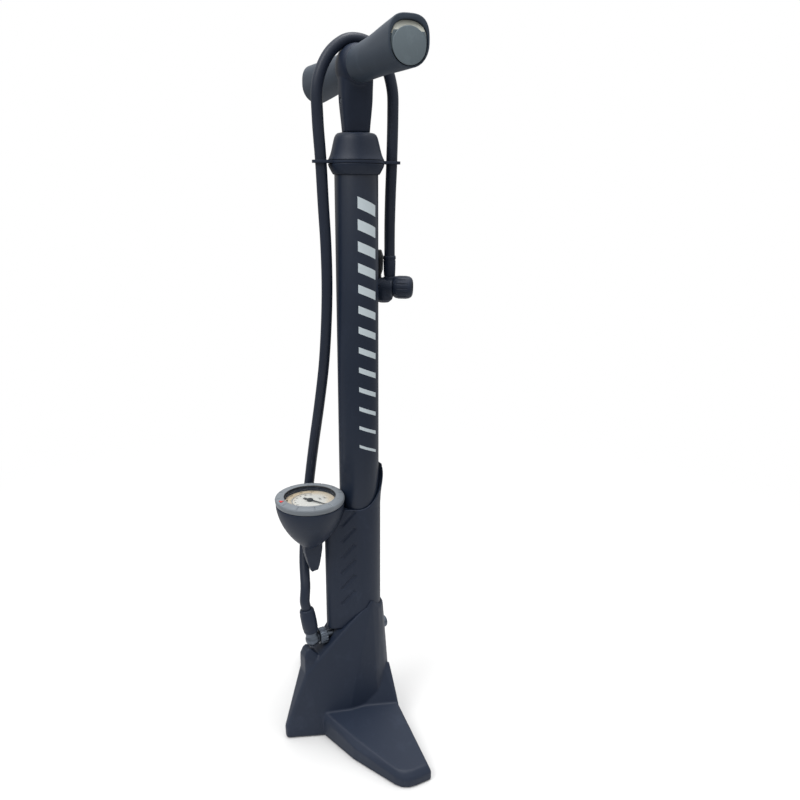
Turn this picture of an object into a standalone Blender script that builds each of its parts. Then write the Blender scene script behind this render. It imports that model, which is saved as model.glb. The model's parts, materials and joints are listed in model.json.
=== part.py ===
"""A floor pump for bicycle tyres: base with two foot pads, barrel, sprung check valve,
piston and rod, T handle, pressure gauge, and a hose with a lever-locked head.

All sizes are in millimetres. The origin is on the barrel's axis at the floor, +Z is up,
+X runs out along a foot pad, and -Y is the gauge's side. The handle, hose clip and pump
head share a frame of their own, turned a little about the barrel, as the handle swivels.
"""
import math

import bmesh
import bpy
from mathutils import Matrix, Vector

MM = 0.001
GAP = 0.3
ROUND = 24

# Driving dimensions
BARREL_R = 19.0
BARREL_BORE_R = 17.5
BARREL_BOTTOM = 88.0
BARREL_TOP = 563.0
PORT_Z = 104.5
SCREW_Z = 98.5
BLOCK_TOP = 118.0
CHAMBER_R = 6.5
CHAMBER_FLOOR = 97.0
ROD_R = 5.0
PISTON_BOTTOM = 120.5
HANDLE_Z = 633.0
HANDLE_HALF = 119.0
PIN_Z = 606.0
NECK_BOTTOM = 581.4
FAIRING_BOTTOM = 112.0
FAIRING_R = 20.6
SPINE_R = 8.0
SPINE_Y = -29.0
GAUGE = Vector((0.0, -52.1, 0.0))
BOWL_TOP = 251.6
BOWL_R = 32.0
BOWL_DEPTH = 47.5
BOWL_WALL = 2.2
GAUGE_SCREW_Z = 226.5
HOSE_R = 4.9
ELBOW = Vector((0.0, -53.6, PORT_Z))
FERRULE_DIR = Vector((-0.12, -0.12, 1.0)).normalized()
HANDLE_TURN = math.radians(-9.0)
HEAD = Vector((-12.0, 35.5, 447.8))
HEAD_TURN = math.radians(60.0)
LEVER_PIVOT = (-10.0, 0.0, 1.0)
CAM_R = 4.2
# The dial's top faces -Y. The needle rests low on its left, as its scale starts there.
NEEDLE_REST = math.radians(28.6)


def new_scene():
    for item in list(bpy.data.objects):
        bpy.data.objects.remove(item, do_unlink=True)
    made = []
    for name in ("floor_pump", "floor_pump_cutters"):
        group = bpy.data.collections.new(name)
        bpy.context.scene.collection.children.link(group)
        made.append(group)
    return made


PARTS, TOOLS = new_scene()


def material(name, colour, roughness, metallic=0.0):
    made = bpy.data.materials.new(name)
    made.use_nodes = True
    shader = made.node_tree.nodes["Principled BSDF"]
    shader.inputs["Base Color"].default_value = (*colour, 1.0)
    shader.inputs["Roughness"].default_value = roughness
    shader.inputs["Metallic"].default_value = metallic
    return made


PLASTIC = material("slate_plastic", (0.022, 0.028, 0.038), 0.55)
PAINT = material("barrel_paint", (0.020, 0.026, 0.036), 0.38)
GRIP = material("grip_rubber", (0.075, 0.095, 0.110), 0.65)
CAP_GREY = material("cap_grey", (0.140, 0.170, 0.185), 0.55)
BEZEL_GREY = material("bezel_grey", (0.210, 0.240, 0.260), 0.45)
BLACK = material("black_plastic", (0.012, 0.013, 0.015), 0.45)
RUBBER = material("black_rubber", (0.015, 0.016, 0.018), 0.75)
STEEL = material("bright_steel", (0.62, 0.63, 0.65), 0.22, 1.0)
BRASS = material("brass", (0.72, 0.53, 0.24), 0.30, 1.0)
DIAL = material("dial_white", (0.86, 0.84, 0.78), 0.50)
LENS = material("clear_lens", (0.90, 0.93, 0.95), 0.05)
RED = material("marker_red", (0.62, 0.03, 0.03), 0.45)


# ---- modelling helpers --------------------------------------------------------------

def place(name, mesh, finish=None, matrix=Matrix.Identity(4), sharp=35.0):
    """Link a mesh as a part, or as a hidden tool where it has no finish."""
    made = bpy.data.objects.new(name, mesh)
    made.matrix_world = matrix
    if finish is None:
        made.hide_render = True
        made.display_type = "WIRE"
        TOOLS.objects.link(made)
        return made
    mesh.materials.append(finish)
    PARTS.objects.link(made)
    mesh.shade_smooth()
    mesh.set_sharp_from_angle(angle=math.radians(sharp))
    return made


def from_bmesh(name, bm, finish=None, matrix=Matrix.Identity(4)):
    bmesh.ops.recalc_face_normals(bm, faces=bm.faces)
    mesh = bpy.data.meshes.new(name)
    bm.to_mesh(mesh)
    bm.free()
    return place(name, mesh, finish, matrix)


def handle_frame():
    """The frame of the handle, hose clip and head: turned about the barrel's axis."""
    return Matrix.Rotation(HANDLE_TURN, 4, "Z")


def frame_at(centre, direction=(0, 0, 1)):
    """A matrix, in metres, whose origin is at centre and whose Z points along direction."""
    turn = Vector((0, 0, 1)).rotation_difference(Vector(direction).normalized())
    return Matrix.Translation(Vector(centre) * MM) @ turn.to_matrix().to_4x4()


def head_frame(offset=(0, 0, 0)):
    """The pump head's frame: X along its nozzle, Z up the hose."""
    turn = Matrix.Rotation(HEAD_TURN, 4, "Z")
    place_at = handle_frame() @ Matrix.Translation(HEAD * MM)
    return place_at @ turn @ Matrix.Translation(Vector(offset) * MM)


def turned(name, profile, finish=None, matrix=Matrix.Identity(4), steps=ROUND):
    """A turned solid. The profile is (radius, height), down its outer side."""
    closed = min(r for r, z in profile) > 0.01
    mesh = bpy.data.meshes.new(name)
    points = [(r * MM, 0.0, z * MM) for r, z in profile]
    links = [(i, i + 1) for i in range(len(points) - 1)]
    if closed:
        links.append((len(points) - 1, 0))
    mesh.from_pydata(points, links, [])
    made = place(name, mesh, finish, matrix)
    screw = made.modifiers.new("turn", "SCREW")
    screw.steps = steps
    screw.render_steps = steps
    screw.use_merge_vertices = True
    screw.merge_threshold = 1e-6
    screw.use_smooth_shade = finish is not None
    return made


def rod_between(name, start, end, radius, finish=None, steps=16, frame=None):
    start, end = Vector(start), Vector(end)
    frame = frame or Matrix.Identity(4)
    bm = bmesh.new()
    bmesh.ops.create_cone(bm, cap_ends=True, segments=steps, radius1=radius * MM,
                          radius2=radius * MM, depth=(end - start).length * MM)
    return from_bmesh(name, bm, finish, frame @ frame_at((start + end) / 2, end - start))


def hull(name, points, finish=None, matrix=Matrix.Identity(4), bevel=0.0, segments=1):
    bm = bmesh.new()
    for point in points:
        bm.verts.new(Vector(point) * MM)
    made = bmesh.ops.convex_hull(bm, input=bm.verts)
    loose = [v for v in made["geom_interior"] if isinstance(v, bmesh.types.BMVert)]
    bmesh.ops.delete(bm, geom=loose, context="VERTS")
    flat = math.radians(1.0)
    bmesh.ops.dissolve_limit(bm, angle_limit=flat, verts=bm.verts, edges=bm.edges)
    part = from_bmesh(name, bm, finish, matrix)
    if bevel:
        soften(part, bevel, segments)
    return part


def box(name, low, high, finish=None, matrix=Matrix.Identity(4), bevel=0.0):
    corners = [(x, y, z) for x in (low[0], high[0]) for y in (low[1], high[1])
               for z in (low[2], high[2])]
    return hull(name, corners, finish, matrix, bevel)


def loft(name, sections, finish=None, matrix=Matrix.Identity(4)):
    """A skin over rings that have the same number of points, closed at both ends."""
    bm = bmesh.new()
    rings = []
    for section in sections:
        ring = [bm.verts.new(Vector(point) * MM) for point in section]
        rings.append(ring)
    count = len(rings[0])
    for ring, following in zip(rings, rings[1:]):
        for i in range(count):
            j = (i + 1) % count
            bm.faces.new((ring[i], ring[j], following[j], following[i]))
    bm.faces.new(rings[0])
    bm.faces.new(rings[-1])
    return from_bmesh(name, bm, finish, matrix)


def soften(part, width, segments=2, angle=30.0):
    bevel = part.modifiers.new("soften", "BEVEL")
    bevel.width = width * MM
    bevel.segments = segments
    bevel.limit_method = "ANGLE"
    bevel.angle_limit = math.radians(angle)


def combine(part, operation, *tools):
    for tool in tools:
        step = part.modifiers.new(tool.name, "BOOLEAN")
        step.operation = operation
        step.object = tool
    return part


def cut(part, *tools):
    return combine(part, "DIFFERENCE", *tools)


def fuse(part, *tools):
    return combine(part, "UNION", *tools)


def tube(name, points, radius, finish, resolution=2, cyclic=False):
    curve = bpy.data.curves.new(name, "CURVE")
    curve.dimensions = "3D"
    curve.bevel_depth = radius * MM
    curve.bevel_resolution = resolution
    curve.use_fill_caps = not cyclic
    curve.render_resolution_u = 0
    spline = curve.splines.new("POLY")
    spline.points.add(len(points) - 1)
    for target, point in zip(spline.points, points):
        target.co = (*(Vector(point) * MM), 1.0)
    spline.use_cyclic_u = cyclic
    curve.materials.append(finish)
    made = bpy.data.objects.new(name, curve)
    PARTS.objects.link(made)
    return made


def smooth_route(knots, spacing):
    """Points read at an even spacing from a Catmull-Rom curve through the knots."""
    knots = [Vector(k) for k in knots]
    ends = [2 * knots[0] - knots[1]] + knots + [2 * knots[-1] - knots[-2]]
    fine = []
    for a, b, c, d in zip(ends, ends[1:], ends[2:], ends[3:]):
        for i in range(24):
            t = i / 24
            fine.append(0.5 * ((2 * b) + (c - a) * t + (2 * a - 5 * b + 4 * c - d) * t ** 2
                               + (3 * b - a - 3 * c + d) * t ** 3))
    fine.append(knots[-1])
    length = sum((q - p).length for p, q in zip(fine, fine[1:]))
    count = max(2, round(length / spacing))
    step = length / count
    route = [fine[0]]
    walked = 0.0
    for p, q in zip(fine, fine[1:]):
        span = (q - p).length
        while len(route) < count and walked + span >= step * len(route):
            route.append(p.lerp(q, (step * len(route) - walked) / span))
        walked += span
    return route + [fine[-1]]


def mirrored(points):
    return list(points) + [(-x, y, z) for x, y, z in points]


def arc(centre, radius, start, end, count):
    angles = [math.radians(start + (end - start) * i / (count - 1)) for i in range(count)]
    return [(centre[0] + radius * math.cos(a), centre[1] + radius * math.sin(a))
            for a in angles]


# ---- base ---------------------------------------------------------------------------

def pad_height(x):
    """The foot pad's top falls from the body out to its tip."""
    return 25.0 - 10.0 * (x - 25.0) / 93.0


def pad_points(side):
    outline = [(6.0, -54.0), (62.0, -40.5)] + arc((102.0, -5.0), 18.0, -66.0, 0.0, 4)
    outline += [(120.5, 12.2), (29.0, 27.2), (6.0, 30.5)]
    centre = Vector((55.0, -8.0))
    floor = [(side * x, y, 0.0) for x, y in outline]
    rim = [(side * x, y, pad_height(x) - 6.0) for x, y in outline]
    top = []
    for x, y in outline:
        inward = (centre - Vector((x, y))).normalized() * 5.0
        top.append((side * (x + inward.x), y + inward.y, pad_height(x)))
    return floor + rim + top


def teardrop(offset, low, high):
    """The fairing's section: a round at the barrel drawn forward to a rounded spine."""
    rear = arc((0.0, 0.0), FAIRING_R - 0.5 + offset, -20.0, 200.0, 17)
    front = arc((0.0, SPINE_Y), SPINE_R + offset, 200.0, 340.0, 8)
    return [(x, y, z) for z in (low, high) for x, y in rear + front]


def make_base():
    half = [(2.5, -85.5, 0), (8.2, -72.5, 0), (17.5, -52, 0), (24, -30, 0), (27, 8, 0),
            (3, -85.8, 13), (8.4, -64.8, 73), (23.0, 1, 142.5), (23.2, 1, 120)]
    half += [(23.3 * x, 23.3 * y, 130) for x, y in arc((0, 0), 1.0, 8, 90, 6)]
    half += [(26 * x, 31 * y, z) for z in (0, 34) for x, y in arc((0, 0), 1.0, 20, 90, 5)]
    base = hull("foot_base", mirrored(half), PLASTIC, bevel=1.6)
    nose = [(7.4, -65.2, 60), (6.8, -65.0, 89), (5.4, -62.4, 96), (5.4, -59.0, 98),
            (5.4, -56.5, 96), (9.5, -53, 80), (8, -45, 82)]
    fuse(base, hull("nose", mirrored(nose), bevel=1.8))
    for side, name in ((1, "right"), (-1, "left")):
        gusset = [(17, -38, 22), (17, -6, 46), (17, 14, 66), (38, 24.5, 22), (17, 27.5, 22),
                  (17, 25, 60)]
        fuse(base, hull("gusset_" + name, [(side * x, y, z) for x, y, z in gusset]))
        fuse(base, hull("pad_" + name, pad_points(side), bevel=1.2))
    cut(base,
        rod_between("barrel_socket", (0, 0, BARREL_BOTTOM - GAP), (0, 0, 170),
                    BARREL_R + GAP, steps=ROUND),
        rod_between("fairing_socket", (0, 0, FAIRING_BOTTOM - GAP), (0, 0, 170),
                    FAIRING_R + 0.4, steps=ROUND),
        hull("spine_socket", teardrop(0.6, FAIRING_BOTTOM - GAP, 170)),
        rod_between("nut_recess", (0, -62, PORT_Z), (0, -38.7, PORT_Z), 8.6),
        rod_between("stem_hole", (0, -45, PORT_Z), (0, -15, PORT_Z), 4.6),
        rod_between("pipe_hole", (0, SPINE_Y, PORT_Z), (0, SPINE_Y, 120), 2.3),
        rod_between("screw_hole", (0, 15, SCREW_Z), (0, 40, SCREW_Z), 2.8),
        rod_between("screw_seat", (0, 24.9, SCREW_Z), (0, 40, SCREW_Z), 6.8, steps=20))
    for side, name in ((1, "right"), (-1, "left")):
        for index, points in enumerate(base_pockets()):
            flipped = [(side * x, y, z) for x, y, z in points]
            cut(base, hull(f"pocket_{name}_{index}", flipped))
    return base


def base_pockets():
    """Hollows under the base, between its ribs, each a tapered block."""
    toe = [(2, -75, -1), (5, -71, -1), (2, -29, -1), (17, -29, -1), (2, -74, 10),
           (4, -71, 10), (2, -61, 55), (5, -59, 55), (2, -29, 74), (15, -29, 74)]
    return [toe,
            [(x, y, z) for z in (-1, 80)
             for x, y in ((3, -25), (19, -25), (19, 8), (12, 20), (3, 22))],
            [(28, y, z) for y in (-42, 22) for z in (-1, 19)]
            + [(64, y, z) for y in (-34, 16) for z in (-1, 16.5)],
            [(69, y, z) for y in (-32, 15) for z in (-1, 15.5)]
            + [(108, y, z) for y in (-14, 9) for z in (-1, 11.5)]]


# ---- barrel and check valve -----------------------------------------------------------

def ring(name, inner, outer, low, high, finish, centre=(0, 0, 0), steps=ROUND):
    profile = [(outer, high), (outer, low), (inner, low), (inner, high)]
    return turned(name, profile, finish, frame_at(centre), steps)


def make_barrel():
    barrel = ring("barrel_tube", BARREL_BORE_R, BARREL_R, BARREL_BOTTOM, BARREL_TOP, PAINT,
                  steps=ROUND)
    cut(barrel,
        rod_between("barrel_port", (0, -25, PORT_Z), (0, -10, PORT_Z), 4.5),
        rod_between("barrel_screw_hole", (0, 10, SCREW_Z), (0, 25, SCREW_Z), 2.8))


def make_valve():
    r = BARREL_BORE_R - GAP
    seal_z = BLOCK_TOP - 4.5
    groove = 1.6
    block = turned("valve_block", [
        (0, BLOCK_TOP), (r, BLOCK_TOP), (r, seal_z + groove), (r - 1.8, seal_z + groove),
        (r - 1.8, seal_z - groove), (r, seal_z - groove), (r, BARREL_BOTTOM + 2),
        (0, BARREL_BOTTOM + 2)], BLACK)
    cut(block,
        rod_between("chamber", (0, 0, CHAMBER_FLOOR), (0, 0, 126), CHAMBER_R),
        rod_between("block_port", (0, -20, PORT_Z), (0, -3, PORT_Z), 4.4),
        rod_between("block_screw_hole", (0, 11, SCREW_Z), (0, 20, SCREW_Z), 2.7))
    ring("valve_block_seal", r - 1.5, r + 0.1, seal_z - 1.2, seal_z + 1.2, RUBBER)
    ring("valve_seat", 2.6, CHAMBER_R - GAP, BLOCK_TOP - 3.7, BLOCK_TOP - 0.2, BRASS, steps=20)
    disc = BLOCK_TOP - 4.0
    turned("check_valve_disc", [
        (0, disc), (5.2, disc), (5.2, disc - 2.2), (2.2, disc - 2.2), (2.2, disc - 4.5),
        (0, disc - 4.5)], RUBBER, steps=20)
    turns, radius, low, high = 4.5, 3.8, CHAMBER_FLOOR + 0.9, disc - 3.1
    count = round(turns * 12)
    coil = []
    for i in range(count + 1):
        angle = 2 * math.pi * turns * i / count
        height = low + (high - low) * i / count
        coil.append((radius * math.cos(angle), radius * math.sin(angle), height))
    tube("check_valve_spring", coil, 0.5, STEEL, resolution=1)


def make_barrel_screw():
    head = turned("barrel_screw", [
        (0, 29.8), (4.2, 29.8), (5.8, 28.8), (6.3, 27.0), (6.3, 25.2), (2.4, 25.2),
        (2.4, 12.0), (0, 12.0)], STEEL, Matrix.Translation((0, 0, SCREW_Z * MM))
        @ Matrix.Rotation(math.radians(-90), 4, "X"), steps=20)
    drive = rod_between("screw_drive", (0, 27.3, SCREW_Z), (0, 33, SCREW_Z), 2.3, steps=6)
    cut(head, drive)


# ---- outlet elbow and hose --------------------------------------------------------------

def make_elbow():
    top = ELBOW + FERRULE_DIR * 8.0
    elbow = rod_between("hose_elbow", ELBOW, (0, -12.5, PORT_Z), 4.0, BRASS)
    bm = bmesh.new()
    bmesh.ops.create_uvsphere(bm, u_segments=16, v_segments=10, radius=7.2 * MM)
    fuse(elbow, from_bmesh("elbow_corner", bm, None, frame_at(ELBOW)),
         rod_between("elbow_leg", ELBOW, top, 6.0),
         rod_between("elbow_shoulder", ELBOW, (0, -47.6, PORT_Z), 5.4))
    cut(elbow, rod_between("elbow_bore", (0, -54, PORT_Z), (0, -5, PORT_Z), 1.7, steps=12),
        rod_between("elbow_riser", ELBOW, ELBOW + FERRULE_DIR * 20, 1.5, steps=12))
    turned("elbow_nut", [
        (7.2, -39.0), (8.2, -39.9), (8.2, -46.3), (7.2, -47.2), (4.4, -47.2), (4.4, -39.0)],
        PLASTIC, Matrix.Translation((0, 0, PORT_Z * MM))
        @ Matrix.Rotation(math.radians(-90), 4, "X"), steps=24)
    turned("hose_ferrule", [
        (0, 25), (6.2, 25), (7.3, 23.5), (7.7, 12), (7.5, 1.6), (6.9, 0.4), (0, 0.4)],
        PLASTIC, frame_at(top, FERRULE_DIR), steps=24)
    return top + FERRULE_DIR * (25.0 + 1.0)


def hose_knots(start):
    """The hose's route: up behind the gauge, through the clip, over the handle, down."""
    return [start, start + FERRULE_DIR * 8,
            (-7.5, -56.4, 159), (-13.8, -54.0, 170), (-21.3, -51.0, 182), (-29.6, -46.3, 199),
            (-36.2, -41.1, 221), (-39.0, -35.5, 256), (-33.6, -32.1, 295), (-24.8, -29.2, 337),
            (-16.4, -27.2, 378), (-9.8, -26.9, 417), (-5.8, -27.2, 453), (-4.5, -28.1, 488),
            (-4.7, -29.6, 522), (-4.8, -31.0, 557), (-5.1, -33.0, 592), (-5.0, -32.6, 618),
            (-3.7, -24.2, 639), (-1.7, -10.9, 651.3), (0.3, 2.0, 654.1), (2.3, 14.4, 650.2),
            (4.0, 25.6, 638), (4.9, 32.4, 618), (5.1, 33.2, 596), (5.0, 32.3, 557),
            (1.6, 33.2, 532), (-3.7, 35.6, 510), (-6.3, 36.9, 494), (-6.3, 36.94, 477.6)]


# ---- fairing and gauge --------------------------------------------------------------------

def bowl_radius(z, inset=0.0):
    share = min(1.0, max(0.0, (BOWL_TOP - z) / (BOWL_DEPTH - inset)))
    return (BOWL_R - inset) * (1.0 - share ** 1.7) ** 0.7


def bowl_profile(grow=0.0, inset=0.0, top=BOWL_TOP, count=9):
    """The bowl's outline, grown outward for a clearance or set inward for its hollow."""
    bottom = BOWL_TOP - BOWL_DEPTH + inset
    rim = min(top, BOWL_TOP)
    heights = [bottom + (rim - bottom) * (i / count) ** 1.4 for i in range(count + 1)]
    outer = [(bowl_radius(z, inset) + grow, z - grow) for z in reversed(heights)]
    return [(0, top), (outer[0][0], top)] + outer[:-1] + [(0, bottom - grow)]


def make_fairing():
    swell = [(FAIRING_R, FAIRING_BOTTOM), (FAIRING_R, 240), (21.4, 252), (22.9, 264),
             (23.3, 273), (22.4, 286), (21.8, 300)]
    profile = [(0, 300)] + swell[::-1] + [(0, FAIRING_BOTTOM)]
    fairing = turned("fairing", profile, PLASTIC, steps=ROUND)
    fuse(fairing, hull("spine", teardrop(0.0, FAIRING_BOTTOM + 0.2, 299)))
    curve = []
    for i in range(9):
        t = math.radians(90.0 * i / 8)
        curve.append((-12 + 36.5 * math.sin(t), 241 + 56 * (1 - math.cos(t))))
    outline = [(-60, 241)] + curve + [(24.5, 320), (-60, 320)]
    bm = bmesh.new()
    face = bm.faces.new([bm.verts.new(Vector((-40, y, z)) * MM) for y, z in outline])
    swept = bmesh.ops.extrude_face_region(bm, geom=[face])["geom"]
    moved = [v for v in swept if isinstance(v, bmesh.types.BMVert)]
    bmesh.ops.translate(bm, vec=(80 * MM, 0, 0), verts=moved)
    cut(fairing,
        from_bmesh("fairing_top_cut", bm),
        rod_between("fairing_bore", (0, 0, 90), (0, 0, 320), BARREL_R + GAP, steps=ROUND),
        turned("bowl_clearance", bowl_profile(grow=0.5, top=262), None, frame_at(GAUGE)),
        rod_between("pipe_channel", (0, SPINE_Y, 100), (0, SPINE_Y, 260), 2.4),
        rod_between("gauge_screw_pilot", (5, -40, GAUGE_SCREW_Z), (5, -21.5, GAUGE_SCREW_Z),
                    1.7, steps=12))
    for side, name in ((1, "right"), (-1, "left")):
        cut(fairing, fairing_grooves(side, name))


def fairing_grooves(side, name):
    """Six slanted grooves down one flank of the spine."""
    bm = bmesh.new()
    flank = math.asin((FAIRING_R - 0.5 - SPINE_R) / abs(SPINE_Y))
    for index in range(6):
        slot = bmesh.ops.create_cube(bm, size=1.0)["verts"]
        bmesh.ops.scale(bm, vec=(2.6 * MM, 20 * MM, 2.6 * MM), verts=slot)
        tilt = Matrix.Rotation(math.radians(48), 4, "X")
        turn = Matrix.Rotation(-flank, 4, "Z")
        shift = Matrix.Translation(Vector((14.1, -19.5, 232 - 17 * index)) * MM)
        bmesh.ops.transform(bm, matrix=shift @ turn @ tilt, verts=slot)
    if side < 0:
        bmesh.ops.scale(bm, vec=(-1, 1, 1), verts=bm.verts)
    return from_bmesh("grooves_" + name, bm)


def make_gauge():
    housing = turned("gauge_housing", bowl_profile(), PLASTIC, frame_at(GAUGE), steps=ROUND)
    fin = mirrored([(4.4, -41.6, 214), (4.4, -61.0, 214), (3.8, -41.9, 203),
                    (3.6, -59.5, 201), (3.0, -43.0, 194), (2.8, -56.5, 189),
                    (2.2, -44.5, 185), (2.2, -54.0, 183), (1.6, -47.5, 179.5),
                    (1.6, -51.5, 179)])
    fuse(housing, hull("fin", fin, bevel=0.8),
         rod_between("spigot", GAUGE + Vector((0, 0, 245)), GAUGE + Vector((0, 0, 254.4)),
                     28.0, steps=ROUND))
    cut(housing,
        turned("bowl_hollow", bowl_profile(inset=BOWL_WALL, top=246.5), None,
               frame_at(GAUGE)),
        rod_between("spigot_bore", GAUGE + Vector((0, 0, 244)), GAUGE + Vector((0, 0, 270)),
                    26.6, steps=ROUND),
        rod_between("pipe_way", (0, SPINE_Y, 212), (0, SPINE_Y, 244.6), 2.4),
        rod_between("gauge_screw_way", (5, -40, GAUGE_SCREW_Z), (5, -21.5, GAUGE_SCREW_Z),
                    1.7, steps=12))
    bezel = turned("gauge_bezel", [
        (24.2, 258.6), (30.4, 258.6), (32.0, 257.7), (32.6, 256.4), (32.2, 253.0),
        (31.4, 251.9), (28.4, 251.9), (28.4, 257.1), (23.6, 257.1), (23.6, 257.8)],
        BEZEL_GREY, frame_at(GAUGE), steps=28)
    marker = [(0, -26.0), (-2.1, -29.6), (2.1, -29.6)]
    middle = Vector((0, -28.4))
    recess = [middle + (Vector(p) - middle) * 1.35 for p in marker]
    cut(bezel, hull("marker_recess", [(x, y, z) for x, y in recess for z in (257.9, 262)],
                    None, frame_at(GAUGE)))
    hull("bezel_marker", [(x, y, z) for x, y in marker for z in (258.2, 258.9)], RED,
         frame_at(GAUGE))
    ring("gauge_gasket", 26.9, 28.0, 254.6, 255.2, RUBBER, GAUGE)
    turned("gauge_lens", [(0, 256.8), (27.9, 256.8), (27.9, 255.5), (0, 255.5)], LENS,
           frame_at(GAUGE), steps=ROUND)
    ring("gauge_dial", 1.6, 26.2, 252.4, 253.2, DIAL, GAUGE)
    movement = box("gauge_movement", (-9, -7, 241), (9, 7, 251.9), BRASS, frame_at(GAUGE), 1.0)
    cut(movement, rod_between("arbor_hole", GAUGE + Vector((0, 0, 246)),
                              GAUGE + Vector((0, 0, 260)), 1.5, steps=12))
    hub = turned("gauge_needle", [(0, 255.1), (2.9, 255.1), (3.2, 254.7), (3.2, 253.9),
                                  (1.1, 253.9), (1.1, 247), (0, 247)], BLACK,
                 frame_at(GAUGE), steps=20)
    aim = Matrix.Rotation(NEEDLE_REST, 4, "Z")
    blade = [(x, y, z) for z in (254.1, 254.7)
             for x, y in ((-7, 0.8), (-7, -0.8), (-2, 0.8), (-2, -0.8), (19, 0.35), (19, -0.35))]
    fuse(hub, hull("needle_blade", blade, None, frame_at(GAUGE) @ aim))
    angles = [math.radians(108 + 240 * i / 20) for i in range(21)]
    tube("bourdon_tube", [GAUGE + Vector((23 * math.cos(a), 23 * math.sin(a), 248))
                          for a in angles], 1.5, BRASS, resolution=1)
    tube("gauge_pipe", [(0, SPINE_Y, PORT_Z + 5.6), (0, SPINE_Y, 243.6)], 1.8, BRASS, resolution=2)
    turned("gauge_screw", [(0, 3.4), (2.4, 3.4), (3.0, 2.0), (3.0, 0.4), (1.4, 0.4),
                                   (1.4, -11), (0, -11)], STEEL,
                   frame_at((5, -35.1, GAUGE_SCREW_Z), (0, -1, 0)), steps=16)


# ---- cap, piston and handle -----------------------------------------------------------------

def make_cap():
    turned("top_cap", [
        (9.6, 581), (14.4, 581), (16.7, 580), (18.8, 576.8), (20.0, 572), (21.2, 567.4),
        (22.5, 563), (24.3, 559.1), (20.9, 559.1), (20.9, 549.6), (19.3, 549.6),
        (19.3, 563.5), (9.6, 563.5)], PLASTIC, steps=ROUND)
    turned("cap_collar", [
        (24.3, 556.0), (23.7, 554.2), (20.2, 547.2), (19.3, 547.2), (19.3, 549.2),
        (21.2, 549.4), (21.2, 556.0)], PLASTIC, steps=ROUND)
    turned("rod_bush", [
        (9.3, 577), (9.3, 560.5), (11.5, 560.5), (11.5, 557.5), (5.4, 557.5), (5.4, 577)],
        BLACK, steps=24)
    turned("wiper_seal", [(9.2, 580.6), (9.2, 577.4), (5.35, 577.4), (5.35, 580.6)], RUBBER,
           steps=24)


def make_hose_clip():
    """A thin plate under the cap with a hook for the hose on each side."""
    turn = handle_frame()
    arms = []
    for sign, y in ((-1, 31.2), (1, 32.7)):
        arms += [(x, sign * yy, z) for z in (556.3, 558.8)
                 for x, yy in arc((0, y), 7.6, 0, 180, 9)]
    clip = hull("hose_clip", arms, PLASTIC, handle_frame())
    disc = rod_between("clip_disc", (0, 0, 556.4), (0, 0, 558.7), 24.4, steps=ROUND)
    fuse(clip, disc)
    cut(clip, rod_between("clip_bore", (0, 0, 550), (0, 0, 565), 21.2, steps=ROUND),
        rod_between("front_hook", (0, -31.4, 550), (0, -31.4, 565), 5.6, None, 20, turn),
        rod_between("rear_hook", (0, 32.7, 550), (0, 32.7, 565), 5.6, None, 20, turn),
        box("front_mouth", (-12, -34.9, 550), (0, -27.9, 565), None, turn),
        box("rear_mouth", (-12, 30.2, 550), (0, 35.2, 565), None, turn))


def make_piston():
    bottom = PISTON_BOTTOM
    rod = rod_between("piston_rod", (0, 0, bottom + 0.7), (0, 0, 622), ROD_R, STEEL, steps=20)
    cut(rod, ring("rod_thread", 4.0, 8.0, bottom - 5, bottom + 21, None, steps=20))
    groove_low, groove_high = bottom + 7.0, bottom + 12.0
    r = BARREL_BORE_R - 0.4
    turned("piston", [
        (4.3, bottom + 21), (11, bottom + 21), (r, bottom + 17), (r, groove_high),
        (r - 3.2, groove_high), (r - 3.2, groove_low), (r, groove_low), (r, bottom + 1.5),
        (r - 1.5, bottom), (9.0, bottom), (9.0, bottom + 4.6), (4.3, bottom + 4.6)], BLACK)
    turned("piston_seal", [
        (r - 0.9, groove_high - GAP), (r + 0.1, groove_high - 1.6), (r + 0.1, groove_low + 1.6),
        (r - 0.9, groove_low + GAP), (r - 2.9, groove_low + GAP), (r - 2.9, groove_high - GAP)],
        RUBBER)
    nut = rod_between("piston_nut", (0, 0, bottom + 0.2), (0, 0, bottom + 4.3), 7.4, STEEL,
                      steps=6)
    cut(nut, rod_between("piston_nut_bore", (0, 0, bottom - 5), (0, 0, bottom + 9), 4.4))
    turned("bump_stop", [
        (10.2, bottom + 33), (11.4, bottom + 31.5), (10.4, bottom + 28), (11.4, bottom + 24.5),
        (10.2, bottom + 21.3), (5.3, bottom + 21.3), (5.3, bottom + 33)], RUBBER, steps=24)


def arch_section(x, width, up, down, power, count=24):
    """An upright ring at x: a squarish arch above the handle's axis, half round below."""
    points = []
    for i in range(count):
        angle = 2 * math.pi * i / count
        c, s = math.cos(angle), math.sin(angle)
        p = power if s > 0 else 2.1
        y = width * math.copysign(abs(c) ** (2 / p), c)
        z = (up if s > 0 else down) * math.copysign(abs(s) ** (2 / p), s)
        points.append((x, y, HANDLE_Z + z))
    return points


def oblong_section(z, half_x, half_y, power, count=24):
    """A level ring at height z, between an ellipse and a rectangle."""
    points = []
    for i in range(count):
        angle = 2 * math.pi * i / count
        c, s = math.cos(angle), math.sin(angle)
        points.append((half_x * math.copysign(abs(c) ** (2 / power), c),
                       half_y * math.copysign(abs(s) ** (2 / power), s), z))
    return points


GRIP_START = 15.0
CORE_BAR_R = 9.0


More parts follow.
